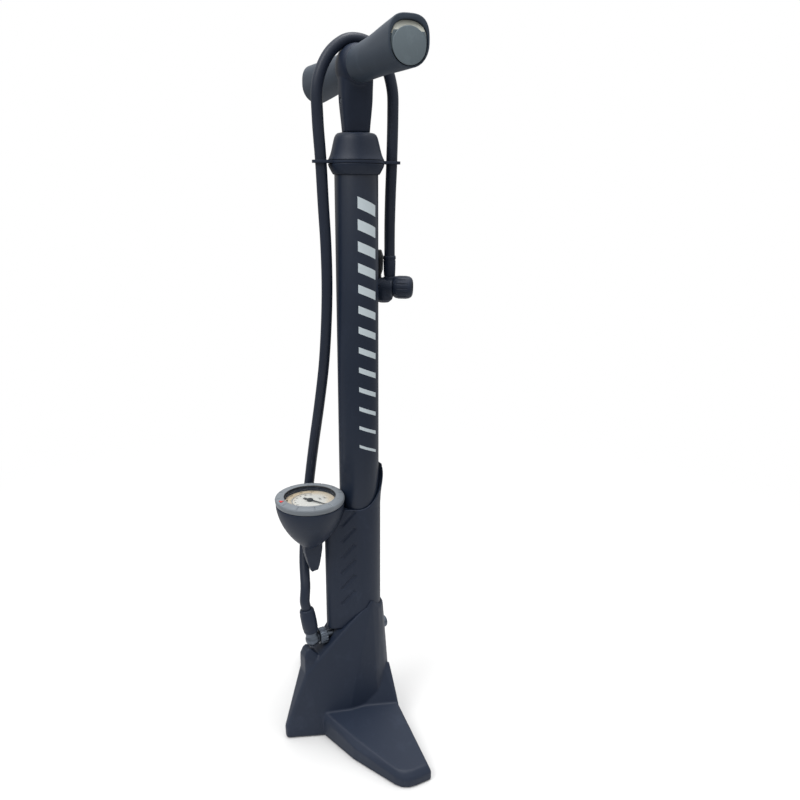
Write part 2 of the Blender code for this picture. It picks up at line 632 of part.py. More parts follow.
def make_handle():
    turn = handle_frame()
    core = loft("handle_core", [
        oblong_section(NECK_BOTTOM, 7.4, 11.4, 4.5), oblong_section(596, 8.5, 12.7, 4.5),
        oblong_section(606, 9.6, 13.6, 4.0), oblong_section(614, 11.0, 14.0, 3.2),
        oblong_section(622, 13.5, 14.4, 2.6), oblong_section(630, 14.5, 14.6, 2.3)],
        PLASTIC, turn)
    hub = [(-GRIP_START + GAP, 14.4), (-11, 16.2), (-5, 17.5), (0, 17.9), (5, 17.5),
           (11, 16.2), (GRIP_START - GAP, 14.4)]
    bar_end = HANDLE_HALF - 7
    fuse(core, loft("hub", [arch_section(x, r * 0.9, r, r, 2.1) for x, r in hub], None, turn),
         rod_between("core_bar", (-bar_end, 0, HANDLE_Z), (bar_end, 0, HANDLE_Z),
                     CORE_BAR_R, None, 20, turn))
    cut(core, rod_between("rod_bore", (0, 0, 570), (0, 0, 622.4), ROD_R + GAP, steps=20),
        rod_between("pin_bore", (0, -20, PIN_Z), (0, 20, PIN_Z), 2.3, None, 12, turn))
    loop_low = 630
    saddle = [knot for knot in hose_knots(ELBOW) if knot[2] > loop_low]
    for index, (start, end) in enumerate(zip(saddle, saddle[1:])):
        cut(core, rod_between(f"saddle_{index}", start, end, HOSE_R + 1.3, steps=16))
    cut(bpy.data.objects["piston_rod"],
        rod_between("rod_pin_bore", (0, -20, PIN_Z), (0, 20, PIN_Z), 2.3, None, 12, turn))
    rod_between("handle_pin", (0, -13.1, PIN_Z), (0, 13.1, PIN_Z), 2.0, STEEL, 12, turn)
    for side, name in ((1, "right"), (-1, "left")):
        make_grip(side, name, turn)


def make_grip(side, name, turn):
    stations = [(GRIP_START, 13.2, 14.2, 14.2, 2.1), (24, 13.4, 14.4, 14.2, 2.1),
                (60, 14.0, 15.2, 14.8, 2.2), (95, 15.0, 16.6, 16.3, 2.6),
                (110, 15.4, 17.4, 17.1, 2.9), (HANDLE_HALF - 1.2, 15.3, 17.4, 17.2, 2.9),
                (HANDLE_HALF, 14.6, 16.7, 16.5, 2.9)]
    grip = loft("grip_" + name, [arch_section(side * x, w, u, d, p)
                                 for x, w, u, d, p in stations], GRIP, turn)
    end = [arch_section(side * x, 13.9, 13.6, 16.0, 2.3) for x in (HANDLE_HALF - 6.5, 130)]
    cut(grip, rod_between("grip_bore_" + name, (side * 5, 0, HANDLE_Z), (side * 130, 0, HANDLE_Z),
                          CORE_BAR_R + GAP, None, 20, turn),
        loft("grip_mouth_" + name, end, None, turn))
    cap = loft("end_cap_" + name, [
        arch_section(side * x, w, u, d, 2.3) for x, w, u, d in
        ((HANDLE_HALF - 6.2, 13.6, 13.3, 15.7), (HANDLE_HALF - 1.6, 13.6, 13.3, 15.7),
         (HANDLE_HALF - 0.6, 12.9, 12.0, 15.0))], CAP_GREY, turn)
    facet = hull("cap_facet_" + name, [(side * x, y, HANDLE_Z + z) for y in (-20, 20)
                 for x, z in ((HANDLE_HALF + 3, 6.4), (HANDLE_HALF - 0.6, 6.4),
                              (HANDLE_HALF - 3.4, 14.5), (HANDLE_HALF + 3, 14.5))], None, turn)
    cut(cap, facet)
    face = rod_between("cap_face_" + name, (side * (HANDLE_HALF - 5), 0, HANDLE_Z - 3.0),
                       (side * (HANDLE_HALF + 0.3), 0, HANDLE_Z - 3.0), 12.6, None, ROUND, turn)
    fuse(cap, face)


# ---- pump head ----------------------------------------------------------------------------

def along_nozzle(offset=0.0):
    """The head's frame with Z turned along its nozzle, for turned pieces."""
    return head_frame() @ Matrix.Rotation(math.radians(90), 4, "Y") @ Matrix.Translation(
        (0, 0, offset * MM))


def in_head(start, end):
    matrix = head_frame()
    return [(matrix @ (Vector(p) * MM)) / MM for p in (start, end)]


def make_head():
    px, _, pz = LEVER_PIVOT
    body = turned("head_body", [
        (0, 12.2), (6.7, 12.2), (6.7, 3.9), (8.8, 3.9), (9.2, 2.5), (9.3, -11),
        (8.2, -14.2), (0, -14.2)], PLASTIC, along_nozzle(), steps=24)
    blob = turned("head_blob", [
        (0, 4.0), (7.0, 4.0), (8.4, 2.5), (9.2, -2.5), (9.0, -6.5), (7.3, -10.3), (4.4, -12.3),
        (0, -12.8)], None, head_frame((-5.4, 0, 0)), steps=20)
    fuse(body, blob)
    cut(body,
        rod_between("plunger_bore", *in_head((-7, 0, 0), (15, 0, 0)), 5.6, steps=20),
        box("cam_slot", (-25, -3.3, -6.6), (-4.6, 3.3, 14), None, head_frame()),
        rod_between("lever_pin_bore", *in_head((px, -12, pz), (px, 12, pz)), 1.6, steps=12))
    turned("head_plunger", [
        (0, -3.0), (2.6, -3.0), (2.6, 10.2), (5.3, 10.2), (5.3, -5.1), (0, -5.1)], BLACK,
        along_nozzle(), steps=20)
    turned("head_grommet", [
        (6.3, 17.6), (6.6, 17.2), (6.6, 12.6), (4.2, 12.6), (4.2, 17.6)], RUBBER,
        along_nozzle(), steps=20)
    nut = turned("head_cap_nut", [
        (5.4, 21.4), (8.6, 21.4), (9.6, 20.2), (9.8, 7.0), (9.1, 4.3), (7.1, 4.3),
        (7.1, 18.0), (5.4, 18.0)], PLASTIC, along_nozzle(), steps=ROUND)
    bm = bmesh.new()
    flutes = 12
    for i in range(flutes):
        groove = bmesh.ops.create_cone(bm, cap_ends=True, segments=6, radius1=1.0 * MM,
                                       radius2=1.0 * MM, depth=22 * MM)["verts"]
        spin = Matrix.Rotation(2 * math.pi * i / flutes, 4, "Z")
        bmesh.ops.transform(bm, verts=groove,
                            matrix=spin @ Matrix.Translation(Vector((10.3, 0, 20)) * MM))
    cut(nut, from_bmesh("nut_flutes", bm, None, along_nozzle()))
    lever = rod_between("head_lever", *in_head((px, -2.9, pz), (px, 2.9, pz)), CAM_R, BLACK,
                        steps=20)
    arm = [(px + dx, y, z) for dx in (-2.0, 2.0) for y, z in
           ((-2.9, pz), (2.9, pz), (-2.9, 11), (2.9, 11))]
    thumb = [(px + dx, y, z) for dx in (-2.2, 1.6) for y, z in
             ((-2.9, 10), (2.9, 10), (-5.8, 15), (5.8, 15), (-5.8, 28.5), (5.8, 28.5),
              (-3.5, 34), (3.5, 34))]
    fuse(lever, rod_between("cam_lobe", *in_head((px, -2.8, pz - 1.5), (px, 2.8, pz - 1.5)),
                            CAM_R, steps=20),
         hull("lever_arm", arm, None, head_frame()),
         hull("lever_thumb", thumb, None, head_frame(), bevel=0.8))
    cut(lever, rod_between("lever_bore", *in_head((px, -5, pz), (px, 5, pz)), 1.6, steps=12))
    rod_between("head_lever_pin", *in_head((px, -7.6, pz), (px, 7.6, pz)), 1.3, STEEL, steps=12)
    turned("head_ferrule", [
        (0, 28.8), (5.1, 28.8), (5.6, 27.4), (5.8, 16), (5.6, 10.2), (0, 10.2)], PLASTIC,
        head_frame(), steps=20)


def main():
    make_base()
    make_barrel()
    make_valve()
    make_barrel_screw()
    start = make_elbow()
    tube("hose", smooth_route(hose_knots(start), 18.0), HOSE_R, RUBBER)
    make_fairing()
    make_gauge()
    make_cap()
    make_hose_clip()
    make_piston()
    make_handle()
    make_head()


main()
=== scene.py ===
"""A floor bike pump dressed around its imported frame: moulded base and fairing, painted
barrel, T handle, pressure gauge, and a hose stowed over the handle.

Sizes are in millimetres until MM turns them into metres. +Z is up, -Y is the gauge's side.
"""

import json
import math
from contextlib import contextmanager

import bpy
from mathutils import Matrix, Vector


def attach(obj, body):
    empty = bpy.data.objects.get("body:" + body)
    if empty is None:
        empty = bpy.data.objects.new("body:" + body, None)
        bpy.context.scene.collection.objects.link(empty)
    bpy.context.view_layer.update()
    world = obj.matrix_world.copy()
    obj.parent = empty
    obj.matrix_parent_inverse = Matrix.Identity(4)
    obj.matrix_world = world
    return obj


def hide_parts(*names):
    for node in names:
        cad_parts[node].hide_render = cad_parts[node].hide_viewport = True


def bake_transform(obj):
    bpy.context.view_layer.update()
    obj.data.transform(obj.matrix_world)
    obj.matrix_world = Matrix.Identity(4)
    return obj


MM = 0.001
GAP = 0.3
UNMOVED = Matrix.Identity(4)

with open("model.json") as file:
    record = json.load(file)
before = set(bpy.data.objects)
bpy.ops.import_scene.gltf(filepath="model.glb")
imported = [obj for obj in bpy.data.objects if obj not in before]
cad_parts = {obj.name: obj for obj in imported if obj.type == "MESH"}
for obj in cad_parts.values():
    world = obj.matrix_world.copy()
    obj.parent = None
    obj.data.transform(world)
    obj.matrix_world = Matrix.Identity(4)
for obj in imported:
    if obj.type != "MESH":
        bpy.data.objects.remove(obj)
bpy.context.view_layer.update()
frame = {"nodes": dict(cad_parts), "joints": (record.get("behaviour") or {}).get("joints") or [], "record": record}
joint_at = {joint["name"]: joint for joint in frame["joints"]}

# The handle, hose clip and pump head are turned a little about the barrel.
HANDLE_FRAME = Matrix.Rotation(math.radians(-9.0), 4, "Z")
HANDLE_Z = 633.0
HANDLE_HALF = 119.0
PIN_Z = 606.0
PIN_WAY_R = 2.3
NECK_BOTTOM = 581.4
BARREL_R, BARREL_BORE_R = 19.0, 17.5
BARREL_BOTTOM, BARREL_TOP = 88.0, 563.0
ROD_R = 5.0
CORE_BAR_R = 9.0
GRIP_START = 15.0
GAUGE_Y = joint_at["bezel_turn"]["pos_m"][1] / MM
GAUGE_FRAME = Matrix.Translation((0.0, GAUGE_Y * MM, 0.0))
# The dial's top points to -Y, so what is printed on it is turned half round.
DIAL_FRAME = GAUGE_FRAME @ Matrix.Rotation(math.pi, 4, "Z")
PORT_Z = 104.5
SCREW_Z = 98.5
ELBOW = Vector((0.0, -53.6, PORT_Z))
FERRULE_DIR = Vector((-0.12, -0.12, 1.0)).normalized()
HOSE_R = 4.9
LEVER_X, LEVER_Z = -10.0, 1.0
CAM_R = 4.2
NEEDLE_REST = 28.6


def frame_along(origin, x_axis, z_axis=(0.0, 0.0, 1.0)):
    """The frame at origin, in metres, whose X runs along x_axis and whose Z leans to z_axis."""
    x = Vector(x_axis).normalized()
    y = Vector(z_axis).cross(x).normalized()
    turn = Matrix((x, y, x.cross(y))).transposed().to_4x4()
    return Matrix.Translation(Vector(origin)) @ turn


HEAD_FRAME = frame_along(joint_at["cap_nut_turn"]["pos_m"], joint_at["cap_nut_turn"]["axis"])
NOZZLE_FRAME = HEAD_FRAME @ Matrix.Rotation(math.radians(90), 4, "Y")


def pointing(start, direction):
    """The frame at start, in millimetres, whose Z points along direction."""
    turn = Vector((0, 0, 1)).rotation_difference(Vector(direction).normalized())
    return Matrix.Translation(Vector(start) * MM) @ turn.to_matrix().to_4x4()


# ---- camera ---------------------------------------------------------------------------

def make_camera():
    deselect()
    bpy.ops.object.camera_add(location=(0.58304, -0.30002, 0.53448))
    camera = bpy.context.object
    azimuth, elevation, roll = (math.radians(angle) for angle in (59.34, 16.15, 0.44))
    back = Vector((math.sin(azimuth) * math.cos(elevation),
                   -math.cos(azimuth) * math.cos(elevation), math.sin(elevation)))
    aim = (-back).to_track_quat("-Z", "Y").to_matrix() @ Matrix.Rotation(roll, 3, "Z")
    camera.rotation_euler = aim.to_euler()
    camera.data.lens = 32.57
    camera.data.sensor_width = 36.0
    bpy.context.scene.camera = camera


# ---- modelling ------------------------------------------------------------------------

def deselect():
    bpy.ops.object.select_all(action="DESELECT")


def pick(piece):
    deselect()
    piece.select_set(True)
    bpy.context.view_layer.objects.active = piece


def added(name):
    """Names what an operator has just added, and puts its place into its mesh."""
    piece = bpy.context.object
    piece.name = piece.data.name = name
    return settled(piece)


def settled(piece, place=UNMOVED):
    piece.data.transform(place @ piece.matrix_basis)
    piece.matrix_basis = UNMOVED
    return piece


@contextmanager
def editing(piece):
    """Edit mode on one piece, with all of it selected."""
    pick(piece)
    bpy.ops.object.mode_set(mode="EDIT")
    bpy.ops.mesh.select_mode(type="VERT")
    bpy.ops.mesh.select_all(action="SELECT")
    yield
    bpy.ops.object.mode_set(mode="OBJECT")


def face_out(piece):
    with editing(piece):
        bpy.ops.mesh.remove_doubles(threshold=1e-6)
        bpy.ops.mesh.normals_make_consistent(inside=False)
    return piece


def apply_modifiers(piece):
    pick(piece)
    for modifier in list(piece.modifiers):
        bpy.ops.object.modifier_apply(modifier=modifier.name)
    return piece


def bevelled(piece, width, segments=3, angle=30.0):
    bevel = piece.modifiers.new("edge", "BEVEL")
    bevel.width = width * MM
    bevel.segments = segments
    bevel.limit_method = "ANGLE"
    bevel.angle_limit = math.radians(angle)
    return apply_modifiers(piece)


def combined(piece, operation, *tools):
    """The piece joined with, or cut by, each tool in turn."""
    for tool in tools:
        boolean = piece.modifiers.new("join", "BOOLEAN")
        boolean.operation = operation
        boolean.object = tool
        apply_modifiers(piece)
        bpy.data.objects.remove(tool)
    return piece


def cut(piece, *tools):
    return combined(piece, "DIFFERENCE", *tools)


def fused(piece, *tools):
    return combined(piece, "UNION", *tools)


def softened(piece, voxel, rounds):
    """Rounds a piece's edges and inner corners, as a moulding's are, on fewer triangles."""
    remesh = piece.modifiers.new("skin", "REMESH")
    remesh.mode = "VOXEL"
    remesh.voxel_size = voxel * MM
    smooth = piece.modifiers.new("soften", "SMOOTH")
    smooth.factor = 0.5
    smooth.iterations = rounds
    thin_out = piece.modifiers.new("thin_out", "DECIMATE")
    thin_out.ratio = 0.4
    return apply_modifiers(piece)


def outline(name, points):
    """A ring of edges through the points, in millimetres."""
    deselect()
    bpy.ops.mesh.primitive_circle_add(vertices=len(points), radius=1.0, location=(0, 0, 0))
    piece = added(name)
    for vertex, point in zip(piece.data.vertices, points):
        vertex.co = Vector(point) * MM
    return piece


def spun(name, profile, place=UNMOVED, steps=96, bevel=0.0, segments=3):
    """A turned piece. The profile is (radius, height), a ring, or a chain from axis to axis."""
    piece = outline(name, [(radius, 0.0, height) for radius, height in profile])
    with editing(piece):
        if profile[0][0] == 0.0:
            bpy.ops.mesh.select_all(action="DESELECT")
            bpy.ops.object.mode_set(mode="OBJECT")
            for index in (0, len(profile) - 1):
                piece.data.vertices[index].select = True
            bpy.ops.object.mode_set(mode="EDIT")
            bpy.ops.mesh.select_mode(type="EDGE")
            bpy.ops.mesh.delete(type="EDGE")
            bpy.ops.mesh.select_mode(type="VERT")
            bpy.ops.mesh.select_all(action="SELECT")
        bpy.ops.mesh.spin(steps=steps, angle=math.tau, center=(0, 0, 0), axis=(0, 0, 1))
        bpy.ops.mesh.select_all(action="SELECT")
        bpy.ops.mesh.remove_doubles(threshold=1e-6)
        bpy.ops.mesh.dissolve_degenerate(threshold=1e-7)
        bpy.ops.mesh.normals_make_consistent(inside=False)
    if bevel:
        bevelled(piece, bevel, segments)
    return settled(piece, place)


def extruded(name, points, step, place=UNMOVED):
    """A flat outline given thickness along step, in millimetres."""
    piece = outline(name, points)
    with editing(piece):
        bpy.ops.mesh.edge_face_add()
        bpy.ops.mesh.extrude_region_move(
            TRANSFORM_OT_translate={"value": tuple(Vector(step) * MM)})
    return settled(face_out(piece), place)


def hulled(name, points, place=UNMOVED, bevel=0.0, segments=3):
    """The tight skin over a few corner points, with its edges rounded."""
    piece = outline(name, points)
    with editing(piece):
        bpy.ops.mesh.convex_hull(use_existing_faces=False)
        bpy.ops.mesh.select_all(action="SELECT")
        bpy.ops.mesh.dissolve_limited(angle_limit=math.radians(1.0))
    face_out(piece)
    if bevel:
        bevelled(piece, bevel, segments, 15.0)
    return settled(piece, place)


def rod(name, start, end, radius, place=UNMOVED, sides=64, bevel=0.0):
    start, end = Vector(start), Vector(end)
    deselect()
    bpy.ops.mesh.primitive_cylinder_add(vertices=sides, radius=radius * MM,
                                        depth=(end - start).length * MM)
    piece = added(name)
    if bevel:
        bevelled(piece, bevel)
    return settled(piece, place @ pointing((start + end) / 2, end - start))


def block(name, low, high, place=UNMOVED, bevel=0.0):
    low, high = Vector(low), Vector(high)
    deselect()
    bpy.ops.mesh.primitive_cube_add(size=1.0, location=(low + high) / 2 * MM,
                                    scale=(high - low) * MM)
    piece = added(name)
    if bevel:
        bevelled(piece, bevel)
    return settled(piece, place)


def fluted(piece, count, start, end, radius, place=UNMOVED, sides=16, first=0.0):
    """Cuts equal grooves round the Z axis of place, each from start to end."""
    for index in range(count):
        turn = place @ Matrix.Rotation(math.tau * (index + first) / count, 4, "Z")
        cut(piece, rod("groove", start, end, radius, turn, sides=sides))


def curve_through(knots, per_span):
    """Points on a smooth curve through the knots, which may have any number of numbers."""
    knots = [Vector(knot) for knot in knots]
    ends = [2 * knots[0] - knots[1]] + knots + [2 * knots[-1] - knots[-2]]
    points = []
    for a, b, c, d in zip(ends, ends[1:], ends[2:], ends[3:]):
        for i in range(per_span):
            t = i / per_span
            points.append(0.5 * (2 * b + (c - a) * t + (2 * a - 5 * b + 4 * c - d) * t ** 2
                                 + (3 * b - a - 3 * c + d) * t ** 3))
    return points + [knots[-1]]


def formed(name, rows, form, sides=64, place=UNMOVED):
    """A capped tube with a ring of points for each row, put in place by form(row, angle)."""
    top = len(rows) - 1
    deselect()
    bpy.ops.mesh.primitive_cylinder_add(vertices=sides, radius=1.0, depth=top,
                                        location=(0, 0, top / 2))
    piece = added(name)
    with editing(piece):
        for level in range(1, top):
            bpy.ops.mesh.select_all(action="SELECT")
            bpy.ops.mesh.bisect(plane_co=(0, 0, level), plane_no=(0, 0, 1))
    for vertex in piece.data.vertices:
        row = rows[round(vertex.co.z)]
        vertex.co = form(row, math.atan2(vertex.co.y, vertex.co.x)) * MM
    return settled(face_out(piece), place)


def squarish(angle, half_width, half_height, power):
    """A point between an ellipse, at power 2, and a rectangle."""
    c, s = math.cos(angle), math.sin(angle)
    return (half_width * math.copysign(abs(c) ** (2 / power), c),
            half_height * math.copysign(abs(s) ** (2 / power), s))


def arch(row, angle):
    """A point of the handle's upright section: a squarish arch over a half round."""
    x, width, up, down, power = row
    if math.sin(angle) > 0:
        y, z = squarish(angle, width, up, power)
    else:
        y, z = squarish(angle, width, down, 2.1)
    return Vector((x, y, HANDLE_Z + z))


def arc(centre, radius, start, end, count):
    angles = [math.radians(start + (end - start) * i / (count - 1)) for i in range(count)]
    return [(centre[0] + radius * math.cos(a), centre[1] + radius * math.sin(a))
            for a in angles]


def copied(name, node):
    """A new piece with a CAD node's shape, its loose triangles merged."""
    piece = bpy.data.objects.new(name, frame["nodes"][node].data.copy())
    bpy.context.scene.collection.objects.link(piece)
    with editing(piece):
        bpy.ops.mesh.remove_doubles(threshold=1e-6)
    return piece


def fitted(piece, body, material, *nodes, angle=35.0, slot=None):
    """Shades the piece, paints it, and mounts it on its body in its CAD nodes' place."""
    pick(piece)
    bpy.ops.object.shade_smooth_by_angle(angle=math.radians(angle))
    if not piece.data.materials or piece.data.materials[0] != material:
        piece.data.materials.clear()
        piece.data.materials.append(material)
    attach(piece, body)
    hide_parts(*nodes)
    return piece


# ---- shader groups --------------------------------------------------------------------

def new_group(name, inputs, outputs):
    tree = bpy.data.node_groups.new(name, "ShaderNodeTree")
    for label, kind, value in inputs:
        socket = tree.interface.new_socket(name=label, in_out="INPUT", socket_type=kind)
        if value is not None:
            socket.default_value = value
    for label, kind in outputs:
        tree.interface.new_socket(name=label, in_out="OUTPUT", socket_type=kind)
    source = tree.nodes.new("NodeGroupInput")
    result = tree.nodes.new("NodeGroupOutput")
    return tree, source, result


def maths(tree, operation, first, second=None, clamp=False):
    """The result of a Math node on one or two sockets or numbers."""
    node = tree.nodes.new("ShaderNodeMath")
    node.operation = operation
    node.use_clamp = clamp
    for socket, value in zip(node.inputs, (first, second)):
        if isinstance(value, (int, float)):
            socket.default_value = value
        elif value is not None:
            tree.links.new(value, socket)
    return node.outputs[0]


def noise(tree, vector, scale, detail, roughness=0.5):
    node = tree.nodes.new("ShaderNodeTexNoise")
    node.inputs["Detail"].default_value = detail
    node.inputs["Roughness"].default_value = roughness
    tree.links.new(vector, node.inputs["Vector"])
    if isinstance(scale, (int, float)):
        node.inputs["Scale"].default_value = scale
    else:
        tree.links.new(scale, node.inputs["Scale"])
    return node.outputs["Fac"]


def spark_grain_group():
    """The fine pebbled texture that a spark-eroded mould leaves on plastic."""
    tree, source, result = new_group(
        "spark_grain",
        [("Vector", "NodeSocketVector", None), ("Grains per metre", "NodeSocketFloat", 1800.0)],
        [("Height", "NodeSocketFloat"), ("Mottle", "NodeSocketFloat")])
    fine = noise(tree, source.outputs["Vector"], source.outputs["Grains per metre"], 2.0)
    cells = tree.nodes.new("ShaderNodeTexVoronoi")
    cells.feature = "SMOOTH_F1"
    tree.links.new(source.outputs["Vector"], cells.inputs["Vector"])
    tree.links.new(source.outputs["Grains per metre"], cells.inputs["Scale"])
    height = maths(tree, "ADD", fine, cells.outputs["Distance"])
    cloudy = noise(tree, source.outputs["Vector"], 22.0, 4.0, 0.6)
    tree.links.new(height, result.inputs["Height"])
    tree.links.new(cloudy, result.inputs["Mottle"])
    return tree


def handling_group():
    """Faint rubbed patches and hairline scratches, as hands and shoes leave."""
    tree, source, result = new_group(
        "handling_marks",
        [("Vector", "NodeSocketVector", None), ("Amount", "NodeSocketFloat", 0.5)],
        [("Mask", "NodeSocketFloat")])
    patches = noise(tree, source.outputs["Vector"], 38.0, 6.0, 0.7)
    patches = maths(tree, "MULTIPLY", maths(tree, "SUBTRACT", patches, 0.56), 6.0, True)
    stretch = tree.nodes.new("ShaderNodeMapping")
    stretch.inputs["Scale"].default_value = (900.0, 900.0, 60.0)
    stretch.inputs["Rotation"].default_value = (0.25, 0.15, 0.0)
    tree.links.new(source.outputs["Vector"], stretch.inputs["Vector"])
    lines = noise(tree, stretch.outputs["Vector"], 1.0, 2.0)
    lines = maths(tree, "MULTIPLY", maths(tree, "SUBTRACT", lines, 0.66), 9.0, True)
    both = maths(tree, "ADD", patches, lines, True)
    mask = maths(tree, "MULTIPLY", both, source.outputs["Amount"], True)
    tree.links.new(mask, result.inputs["Mask"])
    return tree


SPARK_GRAIN = spark_grain_group()
HANDLING = handling_group()


# ---- materials ------------------------------------------------------------------------

def surface(name, roughness, metallic=0.0, **plain):
    """A material with Object coordinates ready, and its plain values on the shader."""
    material = bpy.data.materials.new(name + "_finish")
    material.use_nodes = True
    tree = material.node_tree
    shader = tree.nodes["Principled BSDF"]
    shader.inputs["Roughness"].default_value = roughness
    shader.inputs["Metallic"].default_value = metallic
    shader.inputs["Specular IOR Level"].default_value = 0.5 if metallic else 0.28
    for label, value in plain.items():
        shader.inputs[label.replace("_", " ")].default_value = value
    coordinates = tree.nodes.new("ShaderNodeTexCoord").outputs["Object"]
    return material, tree, shader, coordinates


def placed_group(tree, group, coordinates, **values):
    node = tree.nodes.new("ShaderNodeGroup")
    node.node_tree = group
    tree.links.new(coordinates, node.inputs["Vector"])
    for label, value in values.items():
        node.inputs[label.replace("_", " ")].default_value = value
    return node


def blend_colours(tree, amount, first, second):
    """A colour between two, which are sockets or plain colours."""
    node = tree.nodes.new("ShaderNodeMix")
    node.data_type = "RGBA"
    tree.links.new(amount, node.inputs["Factor"])
    for socket, value in zip((node.inputs[6], node.inputs[7]), (first, second)):
        if isinstance(value, tuple):
            socket.default_value = (*value, 1.0)
        else:
            tree.links.new(value, socket)
    return node.outputs[2]


def ranged(tree, value, low, high):
    node = tree.nodes.new("ShaderNodeMapRange")
    tree.links.new(value, node.inputs["Value"])
    node.inputs["To Min"].default_value = low
    node.inputs["To Max"].default_value = high
    return node.outputs["Result"]


def length_of(tree, vector):
    node = tree.nodes.new("ShaderNodeVectorMath")
    node.operation = "LENGTH"
    tree.links.new(vector, node.inputs[0])
    return node.outputs["Value"]


def raised(tree, shader, height, distance):
    bump = tree.nodes.new("ShaderNodeBump")
    bump.inputs["Distance"].default_value = distance * MM
    bump.inputs["Strength"].default_value = 1.0
    tree.links.new(height, bump.inputs["Height"])
    tree.links.new(bump.outputs["Normal"], shader.inputs["Normal"])


def rubbed(colour):
    """The paler colour where a finish is rubbed."""
    return tuple(min(1.0, channel * 1.5 + 0.004) for channel in colour)


def moulded_plastic(name, dark, light, roughness, grains=1800.0, depth=0.02, wear=0.4):
    """Textured moulded plastic, a little cloudy, and rubbed where it is handled."""
    material, tree, shader, coordinates = surface(name, roughness)
    grain = placed_group(tree, SPARK_GRAIN, coordinates, Grains_per_metre=grains)
    marks = placed_group(tree, HANDLING, coordinates, Amount=wear)
    cloudy = blend_colours(tree, grain.outputs["Mottle"], dark, light)
    colour = blend_colours(tree, marks.outputs["Mask"], cloudy, rubbed(light))
    tree.links.new(colour, shader.inputs["Base Color"])
    rough = ranged(tree, grain.outputs["Mottle"], roughness - 0.06, roughness + 0.06)
    worn = maths(tree, "MULTIPLY", marks.outputs["Mask"], 0.1)
    tree.links.new(maths(tree, "SUBTRACT", rough, worn), shader.inputs["Roughness"])
    raised(tree, shader, grain.outputs["Height"], depth)
    return material


def stripes_mask(tree, coordinates):
    """A column of slanted bars round one side of the barrel, thinner towards the bottom."""
    low, count, pitch, slant, half_width = 300.0, 13, 18.0, 0.42, 9.15
    split = tree.nodes.new("ShaderNodeSeparateXYZ")
    tree.links.new(coordinates, split.inputs["Vector"])
    angle = maths(tree, "ARCTAN2", split.outputs["Y"], split.outputs["X"])
    across = maths(tree, "MULTIPLY", maths(tree, "SUBTRACT", angle, 0.05), BARREL_R)
    height = maths(tree, "MULTIPLY", split.outputs["Z"], 1 / MM)
    leaning = maths(tree, "ADD", height, maths(tree, "MULTIPLY", across, slant))
    bar = maths(tree, "DIVIDE", maths(tree, "SUBTRACT", leaning, low), pitch)
    number = maths(tree, "FLOOR", bar)
    within = maths(tree, "FRACT", bar)
    share = maths(tree, "ADD", maths(tree, "MULTIPLY", number, 0.032), 0.15)
    mask = maths(tree, "LESS_THAN", within, share)
    for test, value, limit in (("LESS_THAN", maths(tree, "ABSOLUTE", across), half_width),
                               ("GREATER_THAN", number, -0.5),
                               ("LESS_THAN", number, count - 0.5)):
        mask = maths(tree, "MULTIPLY", mask, maths(tree, test, value, limit))
    return mask


def painted_barrel(name, dark, light, print_colour):
    """Satin enamel with a faint orange peel, and a printed column of bars."""
    material, tree, shader, coordinates = surface(name, 0.36, Coat_Weight=0.12,
                                                  Coat_Roughness=0.22)
    marks = placed_group(tree, HANDLING, coordinates, Amount=0.35)
    peel = noise(tree, coordinates, 420.0, 2.0)
    cloudy = blend_colours(tree, noise(tree, coordinates, 18.0, 3.0), dark, light)
    paint = blend_colours(tree, marks.outputs["Mask"], cloudy, rubbed(light))
    bars = stripes_mask(tree, coordinates)
    tree.links.new(blend_colours(tree, bars, paint, print_colour), shader.inputs["Base Color"])
    rough = ranged(tree, noise(tree, coordinates, 30.0, 4.0), 0.33, 0.45)
    tree.links.new(rough, shader.inputs["Roughness"])
    height = maths(tree, "ADD", peel, maths(tree, "MULTIPLY", bars, 0.6))
    raised(tree, shader, height, 0.012)
    return material


def moulded_rubber(name, dark, light, roughness, grains=2600.0, depth=0.012):
    """Rubber with a fine skin and a soft bloom."""
    material, tree, shader, coordinates = surface(name, roughness)
    grain = placed_group(tree, SPARK_GRAIN, coordinates, Grains_per_metre=grains)
    colour = blend_colours(tree, grain.outputs["Mottle"], dark, light)
    tree.links.new(colour, shader.inputs["Base Color"])
    rough = ranged(tree, grain.outputs["Mottle"], roughness - 0.08, roughness + 0.08)
    tree.links.new(rough, shader.inputs["Roughness"])
    raised(tree, shader, grain.outputs["Height"], depth)
    return material


def machined_metal(name, dull, bright, roughness, lines=(40.0, 40.0, 2600.0)):
    """Turned or drawn metal with fine tool lines across its length."""
    material, tree, shader, coordinates = surface(name, roughness, metallic=1.0)
    stretch = tree.nodes.new("ShaderNodeMapping")
    stretch.inputs["Scale"].default_value = lines
    tree.links.new(coordinates, stretch.inputs["Vector"])
    tool_lines = noise(tree, stretch.outputs["Vector"], 1.0, 3.0)
    marks = placed_group(tree, HANDLING, coordinates, Amount=0.5)
    colour = blend_colours(tree, tool_lines, dull, bright)
    tree.links.new(colour, shader.inputs["Base Color"])
    rough = ranged(tree, marks.outputs["Mask"], roughness, roughness + 0.15)
    tree.links.new(rough, shader.inputs["Roughness"])
    raised(tree, shader, tool_lines, 0.004)
    return material


